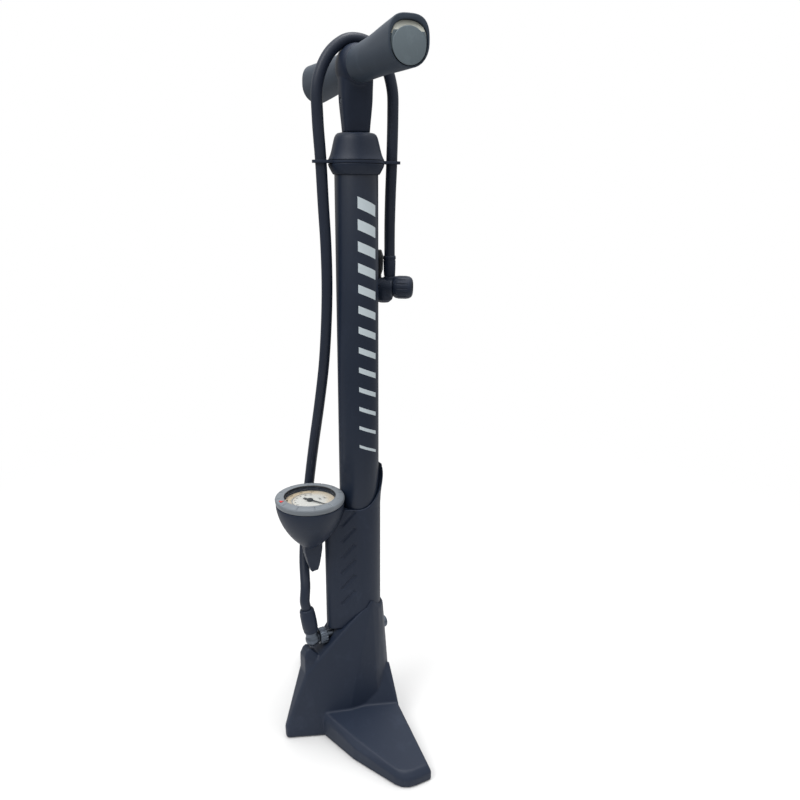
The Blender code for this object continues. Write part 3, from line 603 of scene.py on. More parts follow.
def printed_card(name, middle, edge):
    """The dial's face: white in the middle and cream towards its rim."""
    material, tree, shader, coordinates = surface(name, 0.5)
    centred = tree.nodes.new("ShaderNodeMapping")
    centred.inputs["Location"].default_value = (0.0, -GAUGE_Y * MM, 0.0)
    centred.inputs["Scale"].default_value = (1.0, 1.0, 0.0)
    tree.links.new(coordinates, centred.inputs["Vector"])
    outward = maths(tree, "MULTIPLY", length_of(tree, centred.outputs["Vector"]), 1 / MM)
    outward = maths(tree, "DIVIDE", maths(tree, "SUBTRACT", outward, 13.5), 6.0, True)
    patchy = maths(tree, "MULTIPLY", outward, noise(tree, coordinates, 45.0, 2.0), True)
    patchy = maths(tree, "MULTIPLY", patchy, 1.7, True)
    tree.links.new(blend_colours(tree, patchy, middle, edge), shader.inputs["Base Color"])
    raised(tree, shader, noise(tree, coordinates, 3000.0, 2.0), 0.003)
    return material


def clear_lens(name):
    material, tree, shader, coordinates = surface(name, 0.08, IOR=1.45, Alpha=0.07)
    shader.inputs["Base Color"].default_value = (0.10, 0.12, 0.14, 1.0)
    smear = noise(tree, coordinates, 60.0, 4.0, 0.7)
    tree.links.new(ranged(tree, smear, 0.04, 0.14), shader.inputs["Roughness"])
    raised(tree, shader, smear, 0.004)
    return material


def pale_floor(name):
    """A pale floor, grey near the pump as a painted halo of shade, that glows into the white background further
    out.
    """
    material, tree, shader, coordinates = surface(name, 0.85)
    far = tree.nodes.new("ShaderNodeMapRange")
    far.interpolation_type = "SMOOTHSTEP"
    far.inputs["From Min"].default_value = 0.15
    far.inputs["From Max"].default_value = 1.0
    tree.links.new(length_of(tree, coordinates), far.inputs["Value"])
    tint = noise(tree, coordinates, 3.0, 3.0)
    # The grey near the pump is a painted halo of shade; further out the floor glows white instead of being lit.
    painted_halo_grey = blend_colours(tree, tint, (0.62, 0.62, 0.62), (0.65, 0.65, 0.65))
    colour = blend_colours(tree, far.outputs["Result"], painted_halo_grey, (0.0, 0.0, 0.0))
    tree.links.new(colour, shader.inputs["Base Color"])
    shader.inputs["Specular IOR Level"].default_value = 0.0
    shader.inputs["Emission Color"].default_value = (1.0, 1.0, 1.0, 1.0)
    seen = tree.nodes.new("ShaderNodeLightPath").outputs["Is Camera Ray"]
    glow = maths(tree, "MULTIPLY", far.outputs["Result"], ranged(tree, seen, 0.35, 1.0))
    tree.links.new(glow, shader.inputs["Emission Strength"])
    return material


SLATE = moulded_plastic("slate_plastic", (0.0075, 0.0130, 0.0275), (0.0110, 0.0180, 0.0350), 0.5)
PAINT = painted_barrel("barrel_paint", (0.0070, 0.0125, 0.0255), (0.0100, 0.0165, 0.032),
                       (0.46, 0.52, 0.55))
GRIP = moulded_plastic("grip_plastic", (0.024, 0.035, 0.052), (0.032, 0.045, 0.064), 0.55,
                       grains=1300.0, depth=0.035, wear=0.3)
CAP_GREY = moulded_plastic("cap_grey", (0.110, 0.140, 0.158), (0.130, 0.162, 0.182), 0.55)
# The pale colour of the end plugs' upward slant faces is a painted highlight.
CAP_TOP_HIGHLIGHT = moulded_plastic("cap_painted_highlight", (0.50, 0.51, 0.455), (0.55, 0.56, 0.50), 0.5)
BEZEL = moulded_plastic("bezel_grey", (0.130, 0.147, 0.165), (0.155, 0.173, 0.192), 0.4,
                        depth=0.01)
BLACK = moulded_plastic("black_plastic", (0.009, 0.0095, 0.011), (0.013, 0.014, 0.016), 0.45)
HOSE_RUBBER = moulded_rubber("hose_rubber", (0.0095, 0.0145, 0.0270), (0.0145, 0.0205, 0.0360),
                             0.42)
SEAL = moulded_rubber("seal_rubber", (0.012, 0.013, 0.014), (0.018, 0.019, 0.020), 0.75)
CHROME = machined_metal("rod_chrome", (0.60, 0.61, 0.63), (0.70, 0.71, 0.73), 0.14)
STEEL = machined_metal("fastener_steel", (0.50, 0.51, 0.53), (0.62, 0.63, 0.64), 0.3)
BLACK_STEEL = machined_metal("black_steel", (0.075, 0.09, 0.115), (0.13, 0.15, 0.18), 0.4)
BRASS = machined_metal("brass", (0.62, 0.44, 0.18), (0.76, 0.57, 0.28), 0.3)
DIAL = printed_card("dial_white", (0.56, 0.56, 0.53), (0.54, 0.44, 0.30))
LENS = clear_lens("clear_lens")
RED = moulded_plastic("marker_red", (0.50, 0.018, 0.022), (0.58, 0.03, 0.03), 0.4)
INK = moulded_plastic("dial_ink", (0.012, 0.012, 0.014), (0.016, 0.016, 0.018), 0.5)
GREY_INK = moulded_plastic("dial_grey_ink", (0.20, 0.21, 0.22), (0.24, 0.25, 0.26), 0.5)


# ---- hose and pump head ---------------------------------------------------------------

def hose_path():
    """Out of the ferrule, up behind the gauge, over the handle and down to the head."""
    top = ELBOW + FERRULE_DIR * 34.0
    knots = [top - FERRULE_DIR * 5, top, top + FERRULE_DIR * 8,
             (-7.5, -56.4, 159), (-13.8, -54.0, 170), (-21.3, -51.0, 182), (-29.6, -46.3, 199),
             (-36.2, -41.1, 221), (-39.0, -35.5, 256), (-33.6, -32.1, 295), (-24.8, -29.2, 337),
             (-16.4, -27.2, 378), (-9.8, -26.9, 417), (-5.8, -27.2, 453), (-4.5, -28.1, 488),
             (-4.7, -29.6, 522), (-4.8, -31.0, 557), (-5.1, -33.0, 592), (-5.0, -32.6, 618),
             (-3.7, -24.2, 639), (-1.7, -10.9, 651.3), (0.3, 2.0, 654.1), (2.3, 14.4, 650.2),
             (4.0, 25.6, 638), (4.9, 32.4, 618), (5.1, 33.2, 596), (5.0, 32.3, 557),
             (1.6, 33.2, 532), (-3.7, 35.6, 510), (-6.3, 36.9, 494), (-6.3, 36.94, 477.6),
             (-6.3, 36.94, 473.0)]
    return [point * MM for point in curve_through(knots, 9)]


def swept(name, path, radius, rounds=6):
    """A round tube along a path in metres."""
    curve = bpy.data.curves.new(name, "CURVE")
    curve.dimensions = "3D"
    curve.bevel_depth = radius
    curve.bevel_resolution = rounds
    curve.use_fill_caps = True
    spline = curve.splines.new("POLY")
    spline.points.add(len(path) - 1)
    for target, point in zip(spline.points, path):
        target.co = (*point, 1.0)
    line = bpy.data.objects.new(name, curve)
    bpy.context.scene.collection.objects.link(line)
    pick(line)
    bpy.ops.object.convert(target="MESH")
    return face_out(bpy.context.object)


def make_hose():
    path = hose_path()
    hose = swept("stowed_hose", path, HOSE_R * MM)
    pick(hose)
    bpy.ops.object.shade_smooth_by_angle(angle=math.radians(50))
    hose.data.materials.append(HOSE_RUBBER)
    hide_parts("hose")
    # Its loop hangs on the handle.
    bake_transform(hose)


def make_ferrules():
    lower_place = pointing(ELBOW + FERRULE_DIR * 8.0, FERRULE_DIR)
    lower = spun("crimped_ferrule", [
        (0, 18.0), (5.0, 18.0), (5.0, 25.2), (6.2, 25.2), (6.9, 24.2), (7.3, 22.5),
        (7.1, 21.2), (7.6, 19.8), (7.7, 12.0), (7.6, 5.0), (7.1, 3.8), (7.3, 2.6),
        (6.9, 0.4), (0, 0.4)], lower_place, bevel=0.25, segments=2)
    fitted(lower, "pump_body", SLATE, "hose_ferrule")
    upper = spun("head_sleeve", [
        (0, 22.0), (5.0, 22.0), (5.0, 28.9), (5.3, 28.9), (5.7, 28.0), (5.8, 26.0),
        (5.3, 25.0), (5.6, 24.0), (5.5, 16.0), (5.2, 10.3), (0, 10.3)], HEAD_FRAME,
        bevel=0.2, segments=2)
    fitted(upper, "pump_body", SLATE, "head_ferrule")
    return upper


def make_head():
    """The pump head's body, cap nut, grommet and cam lever."""
    body = spun("head_casting", [
        (0, 12.2), (6.7, 12.2), (6.7, 3.9), (8.5, 3.9), (9.1, 2.5), (9.25, -4), (9.2, -11),
        (8.2, -14.2), (0, -14.2)], NOZZLE_FRAME)
    blob = spun("heel", [
        (0, 4.0), (7.0, 4.0), (8.4, 2.5), (9.2, -2.5), (9.2, -7.5), (7.9, -11.6),
        (4.9, -14.2), (0, -14.9)], HEAD_FRAME @ Matrix.Translation((-5.4 * MM, 0, 0)))
    collar = rod("collar", (0, 0, 0), (0, 0, 10.1), 6.4, HEAD_FRAME)
    fused(body, blob, collar)
    cut(body, rod("bore", (0, 0, -7), (0, 0, 15), 5.6, NOZZLE_FRAME),
        block("slot", (-25, -3.3, -6.6), (-4.6, 3.3, 14), HEAD_FRAME),
        rod("pin_way", (LEVER_X, -12, LEVER_Z), (LEVER_X, 12, LEVER_Z), 1.6, HEAD_FRAME))
    softened(body, 0.4, 5)
    fitted(body, "pump_body", SLATE, "head_body")

    nut = spun("head_nut", [
        (5.4, 21.6), (7.2, 21.5), (8.9, 20.6), (10.1, 18.6), (10.6, 15.5), (10.6, 9.0),
        (10.1, 6.2), (9.1, 4.4), (7.1, 4.4), (7.1, 18.0), (5.4, 18.0)], NOZZLE_FRAME, bevel=0.35)
    fluted(nut, 16, (11.3, 0, 6.5), (10.9, 0, 30), 1.15, NOZZLE_FRAME)
    fitted(nut, "cap_nut", SLATE, "head_cap_nut", angle=25.0)

    grommet = spun("valve_grommet", [
        (4.2, 17.7), (6.3, 17.7), (6.6, 17.2), (6.6, 12.6), (4.2, 12.6), (4.45, 14.0),
        (4.2, 15.2), (4.45, 16.4)], NOZZLE_FRAME, bevel=0.15, segments=2)
    fitted(grommet, "pump_body", SEAL, "head_grommet")

    lever = rod("thumb_lever", (LEVER_X, -2.9, LEVER_Z), (LEVER_X, 2.9, LEVER_Z), CAM_R,
                HEAD_FRAME, bevel=0.3)
    lobe = rod("lobe", (LEVER_X, -2.8, LEVER_Z - 1.5), (LEVER_X, 2.8, LEVER_Z - 1.5), CAM_R,
               HEAD_FRAME)
    arm = hulled("arm", [(LEVER_X + dx, y, z) for dx in (-2.0, 2.0) for y in (-2.9, 2.9)
                         for z in (LEVER_Z, 11.0)], HEAD_FRAME, bevel=0.4)
    thumb = hulled("thumb", [(x, side * y, z) for side in (-1, 1) for x, y, z in (
        (-12.2, 2.9, 10), (-8.4, 2.9, 10), (-12.2, 5.8, 15), (-7.0, 5.8, 15.5),
        (-12.2, 5.8, 28.5), (-6.4, 5.8, 27.5), (-12.0, 3.5, 34), (-8.0, 3.5, 34))],
        HEAD_FRAME, bevel=0.9, segments=4)
    fused(lever, lobe, arm, thumb)
    for level in (22.0, 25.0, 28.0):
        cut(lever, rod("grip_line", (-12.6, -4.2, level), (-12.6, 4.2, level), 0.6,
                       HEAD_FRAME, sides=16))
    cut(lever, rod("lever_bore", (LEVER_X, -5, LEVER_Z), (LEVER_X, 5, LEVER_Z), 1.6,
                   HEAD_FRAME))
    fitted(lever, "lever", BLACK, "head_lever")

    pin = rod("lever_rivet", (LEVER_X, -7.6, LEVER_Z), (LEVER_X, 7.6, LEVER_Z), 1.3,
              HEAD_FRAME, sides=32, bevel=0.3)
    fitted(pin, "pump_body", STEEL, "head_lever_pin")
    return [body, nut, grommet, lever, pin]


def make_outlet():
    """The elbow from the pump's base, its nut, and the screw that holds the barrel."""
    top = ELBOW + FERRULE_DIR * 8.0
    elbow = rod("outlet_elbow", ELBOW, (0, -12.5, PORT_Z), 4.0)
    deselect()
    bpy.ops.mesh.primitive_uv_sphere_add(segments=64, ring_count=32, radius=7.2 * MM,
                                         location=ELBOW * MM)
    corner = added("corner")
    fused(elbow, corner, rod("leg", ELBOW, top, 6.0),
          rod("shoulder", ELBOW, (0, -47.6, PORT_Z), 5.4))
    softened(elbow, 0.4, 4)
    fitted(elbow, "pump_body", BLACK_STEEL, "hose_elbow", slot="brass")
    along_port = Matrix.Translation((0, 0, PORT_Z * MM)) @ Matrix.Rotation(
        math.radians(-90), 4, "X")
    nut = spun("union_nut", [(4.4, -39.0), (7.2, -39.0), (8.2, -39.9), (8.2, -46.3),
                             (7.2, -47.2), (4.4, -47.2)], along_port, bevel=0.3)
    fluted(nut, 18, (8.7, 0, -50), (8.7, 0, -36), 0.9, along_port, sides=12)
    fitted(nut, "pump_body", BLACK_STEEL, "elbow_nut", angle=25.0, slot="fastener_steel")
    along_screw = Matrix.Translation((0, 0, SCREW_Z * MM)) @ Matrix.Rotation(
        math.radians(-90), 4, "X")
    screw = spun("barrel_bolt", [
        (0, 29.8), (4.2, 29.8), (5.3, 29.3), (6.0, 28.3), (6.3, 27.0), (6.3, 25.2),
        (2.4, 25.2), (2.4, 12.0), (0, 12.0)], along_screw, bevel=0.2, segments=2)
    cut(screw, rod("hex", (0, 0, 27.3), (0, 0, 33), 2.3, along_screw, sides=6))
    fitted(screw, "pump_body", BLACK_STEEL, "barrel_screw", slot="fastener_steel")


# ---- base, barrel and fairing -----------------------------------------------------------

def make_base():
    base = softened(copied("moulded_base", "foot_base"), 0.85, 6)
    fitted(base, "pump_body", SLATE, "foot_base", angle=60.0)


def make_barrel():
    barrel = spun("painted_barrel", [
        (BARREL_R, BARREL_TOP), (BARREL_R, BARREL_BOTTOM), (BARREL_BORE_R, BARREL_BOTTOM),
        (BARREL_BORE_R, BARREL_TOP)], steps=128, bevel=0.25, segments=2)
    cut(barrel, rod("port", (0, -25, PORT_Z), (0, -10, PORT_Z), 4.5),
        rod("screw_way", (0, 10, SCREW_Z), (0, 25, SCREW_Z), 2.8))
    fitted(barrel, "pump_body", PAINT, "barrel_tube")


FAIRING_R = 20.6
SPINE_R = 8.0
SPINE_Y = -29.0
FAIRING_BOTTOM = 112.0


def make_fairing():
    """The shell that carries the gauge: a sleeve round the barrel with a rounded spine."""
    swell = curve_through([(FAIRING_R, 240), (21.4, 252), (22.9, 264), (23.3, 273),
                           (22.4, 286), (21.8, 300)], 4)
    profile = [(0, 300)] + [tuple(p) for p in swell[::-1]]
    profile += [(FAIRING_R, FAIRING_BOTTOM), (0, FAIRING_BOTTOM)]
    fairing = spun("gauge_fairing", profile, steps=128)
    rear = arc((0.0, 0.0), FAIRING_R - 0.5, -20.0, 200.0, 49)
    front = arc((0.0, SPINE_Y), SPINE_R, 200.0, 340.0, 25)
    spine = extruded("spine", [(x, y, FAIRING_BOTTOM + 0.2) for x, y in rear + front],
                     (0, 0, 187))
    fused(fairing, spine)
    sweep = [math.radians(90.0 * i / 24) for i in range(25)]
    edge = [(-12 + 36.5 * math.sin(t), 241 + 56 * (1 - math.cos(t))) for t in sweep]
    above = [(-60, 241)] + edge + [(24.5, 330), (-60, 330)]
    bowl = [(radius + 0.5, z - 0.5) for radius, z in bowl_wall(0.0, 24)]
    cut(fairing,
        extruded("top_cut", [(-40, y, z) for y, z in above], (80, 0, 0)),
        rod("barrel_way", (0, 0, 90), (0, 0, 320), BARREL_R + GAP, sides=96),
        spun("bowl_room", [(0, 262), (bowl[-1][0], 262)] + bowl[::-1], GAUGE_FRAME))
    flank = math.asin((FAIRING_R - 0.5 - SPINE_R) / abs(SPINE_Y))
    for side in (1, -1):
        for index in range(6):
            place = Matrix.Translation(Vector((side * 13.9, -19.5, 232 - 17 * index)) * MM)
            place @= Matrix.Rotation(-side * flank, 4, "Z") @ Matrix.Rotation(
                math.radians(48), 4, "X")
            cut(fairing, block("groove", (-1.9, -10, -1.5), (1.9, 10, 1.5), place))
    softened(fairing, 0.7, 4)
    fitted(fairing, "pump_body", SLATE, "fairing", angle=60.0)


# ---- gauge ------------------------------------------------------------------------------

BOWL_TOP, BOWL_R, BOWL_DEPTH, BOWL_WALL = 251.6, 32.0, 47.5, 2.2


def bowl_wall(inset, count, top=BOWL_TOP):
    """(radius, height) points up the bowl's side, from its axis to its rim."""
    bottom = BOWL_TOP - BOWL_DEPTH + inset
    points = []
    for i in range(count + 1):
        z = bottom + (top - bottom) * (i / count) ** 1.6
        share = (BOWL_TOP - z) / (BOWL_DEPTH - inset)
        radius = (BOWL_R - inset) * max(0.0, 1.0 - share ** 1.7) ** 0.7
        points.append((radius, z))
    return points


def make_gauge():
    outer = bowl_wall(0.0, 28)
    inner = bowl_wall(BOWL_WALL, 20, top=246.5)
    bowl = spun("gauge_bowl", inner + [(26.6, 246.5), (26.6, 254.4), (28.0, 254.4),
                                       (28.0, BOWL_TOP)] + outer[::-1])
    fin_corners = [(4.4, -41.6, 214), (4.4, -61.0, 214), (3.8, -41.9, 203), (3.6, -59.5, 201),
                   (3.0, -43.0, 194), (2.8, -56.5, 189), (2.2, -44.5, 185), (2.2, -54.0, 183),
                   (2.0, -46.2, 180.0), (2.0, -52.8, 179.3)]
    fin = hulled("fin", [(side * x, y - GAUGE_Y, z) for side in (-1, 1)
                         for x, y, z in fin_corners])
    fused(bowl, fin)
    softened(bowl, 0.5, 5)
    settled(bowl, GAUGE_FRAME)
    fitted(bowl, "pump_body", SLATE, "gauge_housing", angle=60.0)

    bezel = spun("turning_bezel", [
        (23.6, 257.8), (24.1, 258.5), (25.0, 258.7), (29.6, 258.6), (31.2, 258.2),
        (32.2, 257.5), (32.6, 256.4), (32.4, 254.4), (32.1, 253.0), (31.4, 251.95),
        (28.4, 251.95), (28.4, 257.1), (23.6, 257.1)], steps=128, bevel=0.2, segments=2)
    fluted(bezel, 12, (27.4, 0, 259.0), (34.5, 0, 257.6), 0.75, first=0.5)
    cut(bezel, extruded("marker_seat", [(0, -25.4, 257.9), (-2.9, -30.1, 257.9),
                                        (2.9, -30.1, 257.9)], (0, 0, 4)))
    # The bezel's inner lip is black: painted shade of the recess over the dial, on an otherwise grey bezel.
    for finish in (BEZEL, BLACK):
        bezel.data.materials.append(finish)
    for face in bezel.data.polygons:
        face.material_index = int(face.center.xy.length < 24.4 * MM)
    settled(bezel, GAUGE_FRAME)
    fitted(bezel, "bezel", BEZEL, "gauge_bezel", angle=25.0)
    marker = extruded("marker", [(0, -26.0, 258.1), (-2.3, -29.8, 258.1), (2.3, -29.8, 258.1)],
                      (0, 0, 0.85), GAUGE_FRAME)
    fitted(bevelled(marker, 0.2, 2), "bezel", RED, "bezel_marker")

    face = spun("dial_face", [(1.6, 253.2), (26.2, 253.2), (26.2, 252.4), (1.6, 252.4)],
                GAUGE_FRAME, bevel=0.1, segments=1)
    fitted(face, "pump_body", DIAL, "gauge_dial")
    # A dark slate ring on the inner wall stands in for the shadow between the bezel and the dial: painted shade.
    shade_ring = spun("dial_shade_ring", [(23.3, 257.0), (23.9, 257.0), (25.9, 253.4), (23.7, 253.4)],
                GAUGE_FRAME)
    fitted(shade_ring, "pump_body", SLATE)
    lens = spun("gauge_window", [(0, 257.0), (14, 256.95), (27.9, 256.7), (27.9, 255.6),
                                 (14, 255.8), (0, 255.85)], GAUGE_FRAME)
    fitted(lens, "pump_body", LENS, "gauge_lens")
    make_pointer()
    make_dial_print()


def make_pointer():
    hub = spun("pointer", [(0, 255.1), (2.4, 255.1), (3.0, 254.7), (3.1, 253.9), (1.1, 253.9),
                           (1.1, 247), (0, 247)], steps=64, bevel=0.12, segments=2)
    turn = Matrix.Rotation(math.radians(NEEDLE_REST), 4, "Z")
    blade = hulled("blade", [(x, side * y, z) for side in (-1, 1) for z in (254.1, 254.6)
                             for x, y in ((-7.5, 1.1), (-2, 0.9), (17.2, 0.5), (19, 0.1))],
                   turn, bevel=0.1, segments=1)
    fused(hub, blade)
    settled(hub, GAUGE_FRAME)
    fitted(hub, "needle", BLACK, "gauge_needle")


DIAL_R = 23.6
INK_LOW, INK_HIGH = 253.22, 253.30
SCALE_START, SCALE_SWEEP = 208.6, 237.0


def scale_angle(share):
    return math.radians(SCALE_START - SCALE_SWEEP * share)


def word(text, x, y, size):
    """Raised print on the dial, centred on x, y, in the dial's own frame."""
    deselect()
    bpy.ops.object.text_add(location=(0, 0, 0))
    label = bpy.context.object
    label.data.body = text
    label.data.size = size * MM
    label.data.align_x = "CENTER"
    label.data.align_y = "CENTER"
    label.data.extrude = (INK_HIGH - INK_LOW) / 2 * MM
    bpy.ops.object.convert(target="MESH")
    return settled(bpy.context.object,
                   Matrix.Translation(Vector((x, y, (INK_LOW + INK_HIGH) / 2)) * MM))


def tick(angle, inner, outer, width):
    turn = Matrix.Rotation(angle, 4, "Z")
    return block("tick", (inner, -width / 2, INK_LOW), (outer, width / 2, INK_HIGH), turn)


def joined(name, parts):
    deselect()
    for part in parts:
        part.select_set(True)
    bpy.context.view_layer.objects.active = parts[0]
    bpy.ops.object.join()
    piece = bpy.context.object
    piece.name = piece.data.name = name
    return piece


def arc_band(name, inner, outer, start, end):
    """A flat printed band between two angles, in degrees."""
    points = arc((0, 0), outer, start, end, 61) + arc((0, 0), inner, end, start, 61)
    return extruded(name, [(x, y, INK_LOW) for x, y in points], (0, 0, INK_HIGH - INK_LOW))


def make_dial_print():
    marks = []
    for bar in range(12):
        angle = scale_angle(bar / 11)
        marks.append(tick(angle, 0.74 * DIAL_R, 0.79 * DIAL_R, 0.35))
        if bar:
            reach = 0.59 * DIAL_R
            marks.append(word(str(bar), reach * math.cos(angle), reach * math.sin(angle), 3.1))
    for index in range(9):
        angle = scale_angle(index / 8)
        marks.append(tick(angle, 0.79 * DIAL_R, 0.83 * DIAL_R, 0.3))
        reach = 0.905 * DIAL_R
        label = word(str(20 * index), 0, 0, 2.5)
        upright = Matrix.Rotation(angle - math.pi / 2, 4, "Z")
        settled(label, Matrix.Translation(
            Vector((reach * math.cos(angle), reach * math.sin(angle), 0)) * MM) @ upright)
        marks.append(label)
    for index in range(1, 44):
        if index % 4:
            marks.append(tick(scale_angle(index / 44), 0.755 * DIAL_R, 0.785 * DIAL_R, 0.2))
    marks += [word("bar", 0, -9.8, 4.0), word("psi", 0, -14.6, 4.0)]
    stop = [(-15.6, -10.4), (-12.6, -10.4), (-12.6, -13.6), (-15.6, -13.6)]
    for (x0, y0), (x1, y1) in zip(stop, stop[1:] + stop[:1]):
        low = (min(x0, x1) - 0.15, min(y0, y1) - 0.15, INK_LOW)
        high = (max(x0, x1) + 0.15, max(y0, y1) + 0.15, INK_HIGH)
        marks.append(block("stop_box", low, high))
    ink = settled(joined("dial_numbers", marks), DIAL_FRAME)
    fitted(ink, "pump_body", INK, slot="black_plastic")
    band = arc_band("dial_band", 0.69 * DIAL_R, 0.735 * DIAL_R,
                    SCALE_START - SCALE_SWEEP / 11, SCALE_START - SCALE_SWEEP)
    fitted(settled(band, DIAL_FRAME), "pump_body", GREY_INK, slot="bezel_grey")


# ---- cap, clip and handle ---------------------------------------------------------------

def make_cap():
    cap = spun("barrel_cap", [
        (9.6, 581), (14.0, 581), (15.9, 580.6), (17.4, 579.4), (18.6, 577.2), (19.3, 574.6),
        (20.0, 571.8), (21.0, 567.6), (22.2, 563.4), (23.3, 560.8), (24.3, 559.15),
        (20.9, 559.15), (20.9, 549.6), (19.3, 549.6), (19.3, 563.5), (9.6, 563.5)],
        steps=128, bevel=0.3)
    fitted(cap, "pump_body", SLATE, "top_cap", angle=50.0)
    collar = spun("cap_ring", [
        (21.2, 556.0), (24.0, 556.0), (24.3, 555.4), (23.7, 553.6), (22.0, 550.4),
        (20.5, 547.8), (20.0, 547.25), (19.3, 547.25), (19.3, 549.2), (21.2, 549.4)],
        steps=128, bevel=0.2, segments=2)
    fitted(collar, "pump_body", SLATE, "cap_collar", angle=50.0)
    bush = spun("guide_bush", [(5.4, 577), (9.3, 577), (9.3, 560.5), (11.5, 560.5),
                               (11.5, 557.5), (5.4, 557.5)], bevel=0.3, segments=2)
    fitted(bush, "pump_body", BLACK, "rod_bush")
    wiper = spun("rod_wiper", [(5.35, 580.5), (6.4, 580.6), (9.2, 580.2), (9.2, 577.4),
                               (5.35, 577.4)], bevel=0.25, segments=2)
    fitted(wiper, "pump_body", SEAL, "wiper_seal")


def make_clip():
    """A plate under the cap with an open hook for the hose at each end."""
    low, high = 556.35, 558.75
    clip = rod("clip_plate", (0, 0, low), (0, 0, high), 24.4, sides=128)
    for sign, y in ((-1, 31.3), (1, 32.7)):
        fused(clip, rod("hook", (0, sign * y, low), (0, sign * y, high), 7.6),
              block("arm", (-7.6, min(0, sign * y), low), (7.6, max(0, sign * y), high)))
    cut(clip, rod("bore", (0, 0, 540), (0, 0, 570), 21.2, sides=128))
    for y, low_y, high_y in ((-31.4, -34.9, -27.9), (32.7, 30.2, 35.2)):
        cut(clip, rod("hook_way", (0, y, 540), (0, y, 570), 5.5),
            block("mouth", (-12, low_y, 540), (0, high_y, 570)))
    bevelled(clip, 0.55, 3, 40.0)
    settled(clip, HANDLE_FRAME)
    fitted(clip, "pump_body", SLATE, "hose_clip")


def make_rod():
    shaft = rod("chromed_rod", (0, 0, 121.2), (0, 0, 622), ROD_R, sides=96, bevel=0.6)
    thread = spun("thread_relief", [(4.0, 141.5), (8.0, 141.5), (8.0, 115), (4.0, 115)])
    pin_way = rod("pin_way", (0, -20, PIN_Z), (0, 20, PIN_Z), PIN_WAY_R, HANDLE_FRAME)
    fitted(cut(shaft, thread, pin_way), "rod_group", CHROME, "piston_rod")


def oblong(row, angle):
    z, half_x, half_y, power = row
    x, y = squarish(angle, half_x, half_y, power)
    return Vector((x, y, z))


def make_handle():
    neck_rows = curve_through([
        (NECK_BOTTOM, 7.4, 11.4, 4.5), (588, 7.8, 11.9, 4.5), (597, 8.6, 12.8, 4.4),
        (PIN_Z, 9.6, 13.6, 4.0), (614, 11.0, 14.0, 3.2), (622, 13.2, 14.4, 2.6),
        (630, 14.5, 14.6, 2.3)], 3)
    core = formed("handle_body", neck_rows, oblong)
    hub_rows = curve_through([(x, 0.9 * r, r, r, 2.1) for x, r in (
        (-14.7, 14.4), (-11, 16.2), (-5, 17.5), (0, 17.9), (5, 17.5), (11, 16.2),
        (14.7, 14.4))], 4)
    bar_end = HANDLE_HALF - 7
    fused(core, formed("hub", hub_rows, arch),
          rod("bar", (-bar_end, 0, HANDLE_Z), (bar_end, 0, HANDLE_Z), CORE_BAR_R))
    cut(core, rod("rod_way", (0, 0, 570), (0, 0, 622.4), ROD_R + GAP),
        rod("pin_way", (0, -20, PIN_Z), (0, 20, PIN_Z), PIN_WAY_R))
    settled(core, HANDLE_FRAME)
    over_hub = [point for point in hose_path() if point.z > (HANDLE_Z + 2) * MM]
    cut(core, swept("saddle", over_hub, (HOSE_R + 0.7) * MM))
    softened(core, 0.7, 5)
    fitted(core, "rod_group", SLATE, "handle_core", angle=60.0)
    pin = rod("cross_pin", (0, -13.1, PIN_Z), (0, 13.1, PIN_Z), 2.0, HANDLE_FRAME, bevel=0.4)
    fitted(pin, "rod_group", BLACK_STEEL, "handle_pin", slot="fastener_steel")
    for side, name in ((1, "right"), (-1, "left")):
        make_grip(side, name)


def make_grip(side, name):
    rows = curve_through([(side * x, w, u, d, p) for x, w, u, d, p in (
        (GRIP_START, 13.2, 14.2, 14.2, 2.1), (24, 13.4, 14.4, 14.2, 2.1),
        (60, 14.0, 15.2, 14.8, 2.2), (95, 15.0, 16.6, 16.3, 2.6),
        (HANDLE_HALF, 15.4, 17.5, 17.2, 2.9))], 7)
    grip = formed("grip_" + name + "_moulding", rows, arch, sides=96)
    bevelled(grip, 1.1, 4, 50.0)
    mouth = formed("mouth", [(side * x, 13.9, 13.6, 16.0, 2.3) for x in (HANDLE_HALF - 6.5, 130)],
                   arch, sides=96)
    bar_way = rod("bar_way", (side * 5, 0, HANDLE_Z), (side * 125, 0, HANDLE_Z),
                  CORE_BAR_R + GAP)
    cut(grip, bar_way, mouth)
    bevelled(grip, 0.35, 2, 50.0)
    settled(grip, HANDLE_FRAME)
    fitted(grip, "rod_group", GRIP, "grip_" + name)

    cap = formed("plug", [(side * x, w, u, d, 2.3) for x, w, u, d in (
        (HANDLE_HALF - 6.2, 13.6, 13.3, 15.7), (HANDLE_HALF - 1.6, 13.6, 13.3, 15.7),
        (HANDLE_HALF - 0.6, 12.9, 12.0, 15.0))], arch, sides=96)
    slant = extruded("slant", [(side * x, -20, HANDLE_Z + z) for x, z in (
        (HANDLE_HALF + 3, 6.4), (HANDLE_HALF - 0.6, 6.4), (HANDLE_HALF - 3.4, 14.5),
        (HANDLE_HALF + 3, 14.5))], (0, 40, 0))
    cut(cap, slant)
    for part in (CAP_GREY, CAP_TOP_HIGHLIGHT):
        cap.data.materials.append(part)
    # The upward-facing slant face takes the pale colour: a painted highlight where light from above falls.
    for face in cap.data.polygons:
        face.material_index = int(face.normal.z > 0.2 and abs(face.normal.x) > 0.3)
    button = rod("button", (side * (HANDLE_HALF - 5), 0, HANDLE_Z - 3.0),
                 (side * (HANDLE_HALF + 0.35), 0, HANDLE_Z - 3.0), 12.6, sides=96, bevel=0.5)
    button.data.materials.append(CAP_GREY)
    fused(cap, button)
    settled(cap, HANDLE_FRAME)
    cap.name = cap.data.name = "end_plug_" + name
    fitted(cap, "rod_group", CAP_GREY, "end_cap_" + name)


# ---- carried-over nodes, floor and light --------------------------------------------------

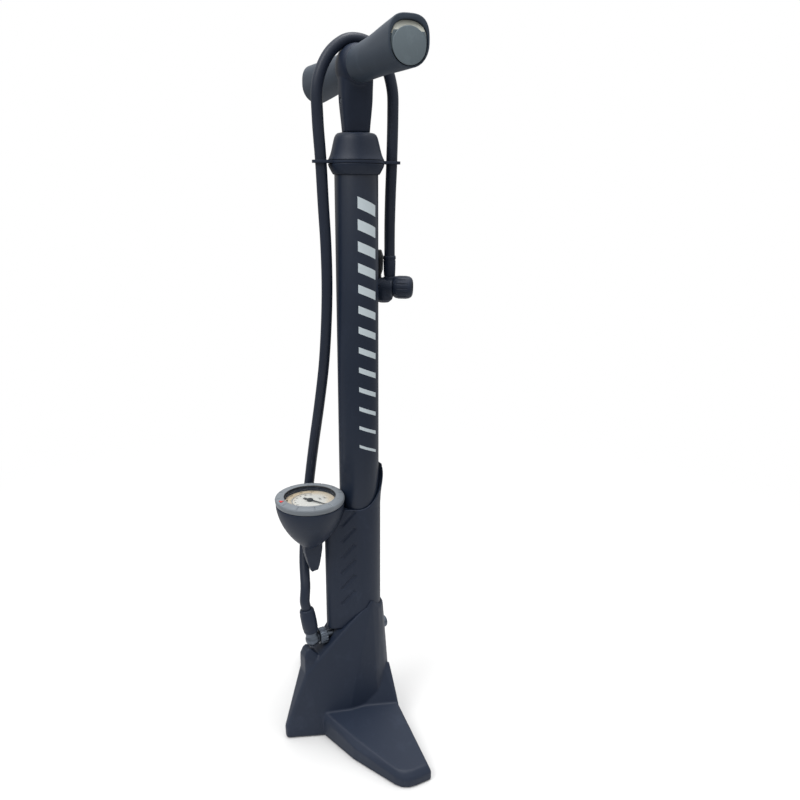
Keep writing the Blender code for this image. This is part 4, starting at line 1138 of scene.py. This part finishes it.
def paint_frame():
    """Gives each CAD node that stays the finish of its material slot."""
    finishes = {material.name.removesuffix("_finish"): material for material in (
        SLATE, PAINT, GRIP, CAP_GREY, BEZEL, BLACK, HOSE_RUBBER, SEAL, CHROME, STEEL, BRASS,
        DIAL, LENS, RED)}
    for part in frame["record"]["subparts"]:
        node = frame["nodes"][part["node"]]
        node.data.materials.clear()
        node.data.materials.append(finishes[part["material_slot"]])


def soft_sky():
    """A white background, whose light comes mostly from above."""
    world = bpy.data.worlds.new("soft_sky")
    world.use_nodes = True
    tree = world.node_tree
    background = tree.nodes["Background"]
    background.inputs["Color"].default_value = (1.0, 1.0, 1.0, 1.0)
    split = tree.nodes.new("ShaderNodeSeparateXYZ")
    tree.links.new(tree.nodes.new("ShaderNodeTexCoord").outputs["Generated"],
                   split.inputs["Vector"])
    above = ranged(tree, maths(tree, "MULTIPLY", split.outputs["Z"], 1.0, True), 0.38, 1.7)
    seen = tree.nodes.new("ShaderNodeLightPath").outputs["Is Camera Ray"]
    mix = tree.nodes.new("ShaderNodeMix")
    tree.links.new(seen, mix.inputs["Factor"])
    tree.links.new(above, mix.inputs["A"])
    mix.inputs["B"].default_value = 1.0
    tree.links.new(mix.outputs["Result"], background.inputs["Strength"])
    return world


def make_studio():
    deselect()
    bpy.ops.mesh.primitive_circle_add(vertices=128, radius=40.0, fill_type="NGON",
                                      location=(0, 0, -0.0002))
    floor = bpy.context.object
    floor.name = "studio_floor"
    floor.data.materials.append(pale_floor("pale_floor"))
    bpy.context.scene.world = soft_sky()
    for name, place, size, power in (("key", (0.35, -1.3, 1.9), 0.9, 18.0),
                                     ("top", (0.1, 0.1, 2.2), 0.9, 20.0)):
        deselect()
        bpy.ops.object.light_add(type="AREA", location=place)
        light = bpy.context.object
        light.name = name
        light.data.size = size
        light.data.energy = power
        aim = Vector((0, 0, 0.35)) - Vector(place)
        light.rotation_euler = aim.to_track_quat("-Z", "Y").to_euler()
    bpy.context.scene.view_settings.view_transform = "Standard"


make_camera()

paint_frame()
head_pieces = make_head()
head_pieces.append(make_ferrules())
make_hose()
make_outlet()
make_base()
make_barrel()
make_fairing()
make_gauge()
make_cap()
make_clip()
make_rod()
make_handle()
make_studio()
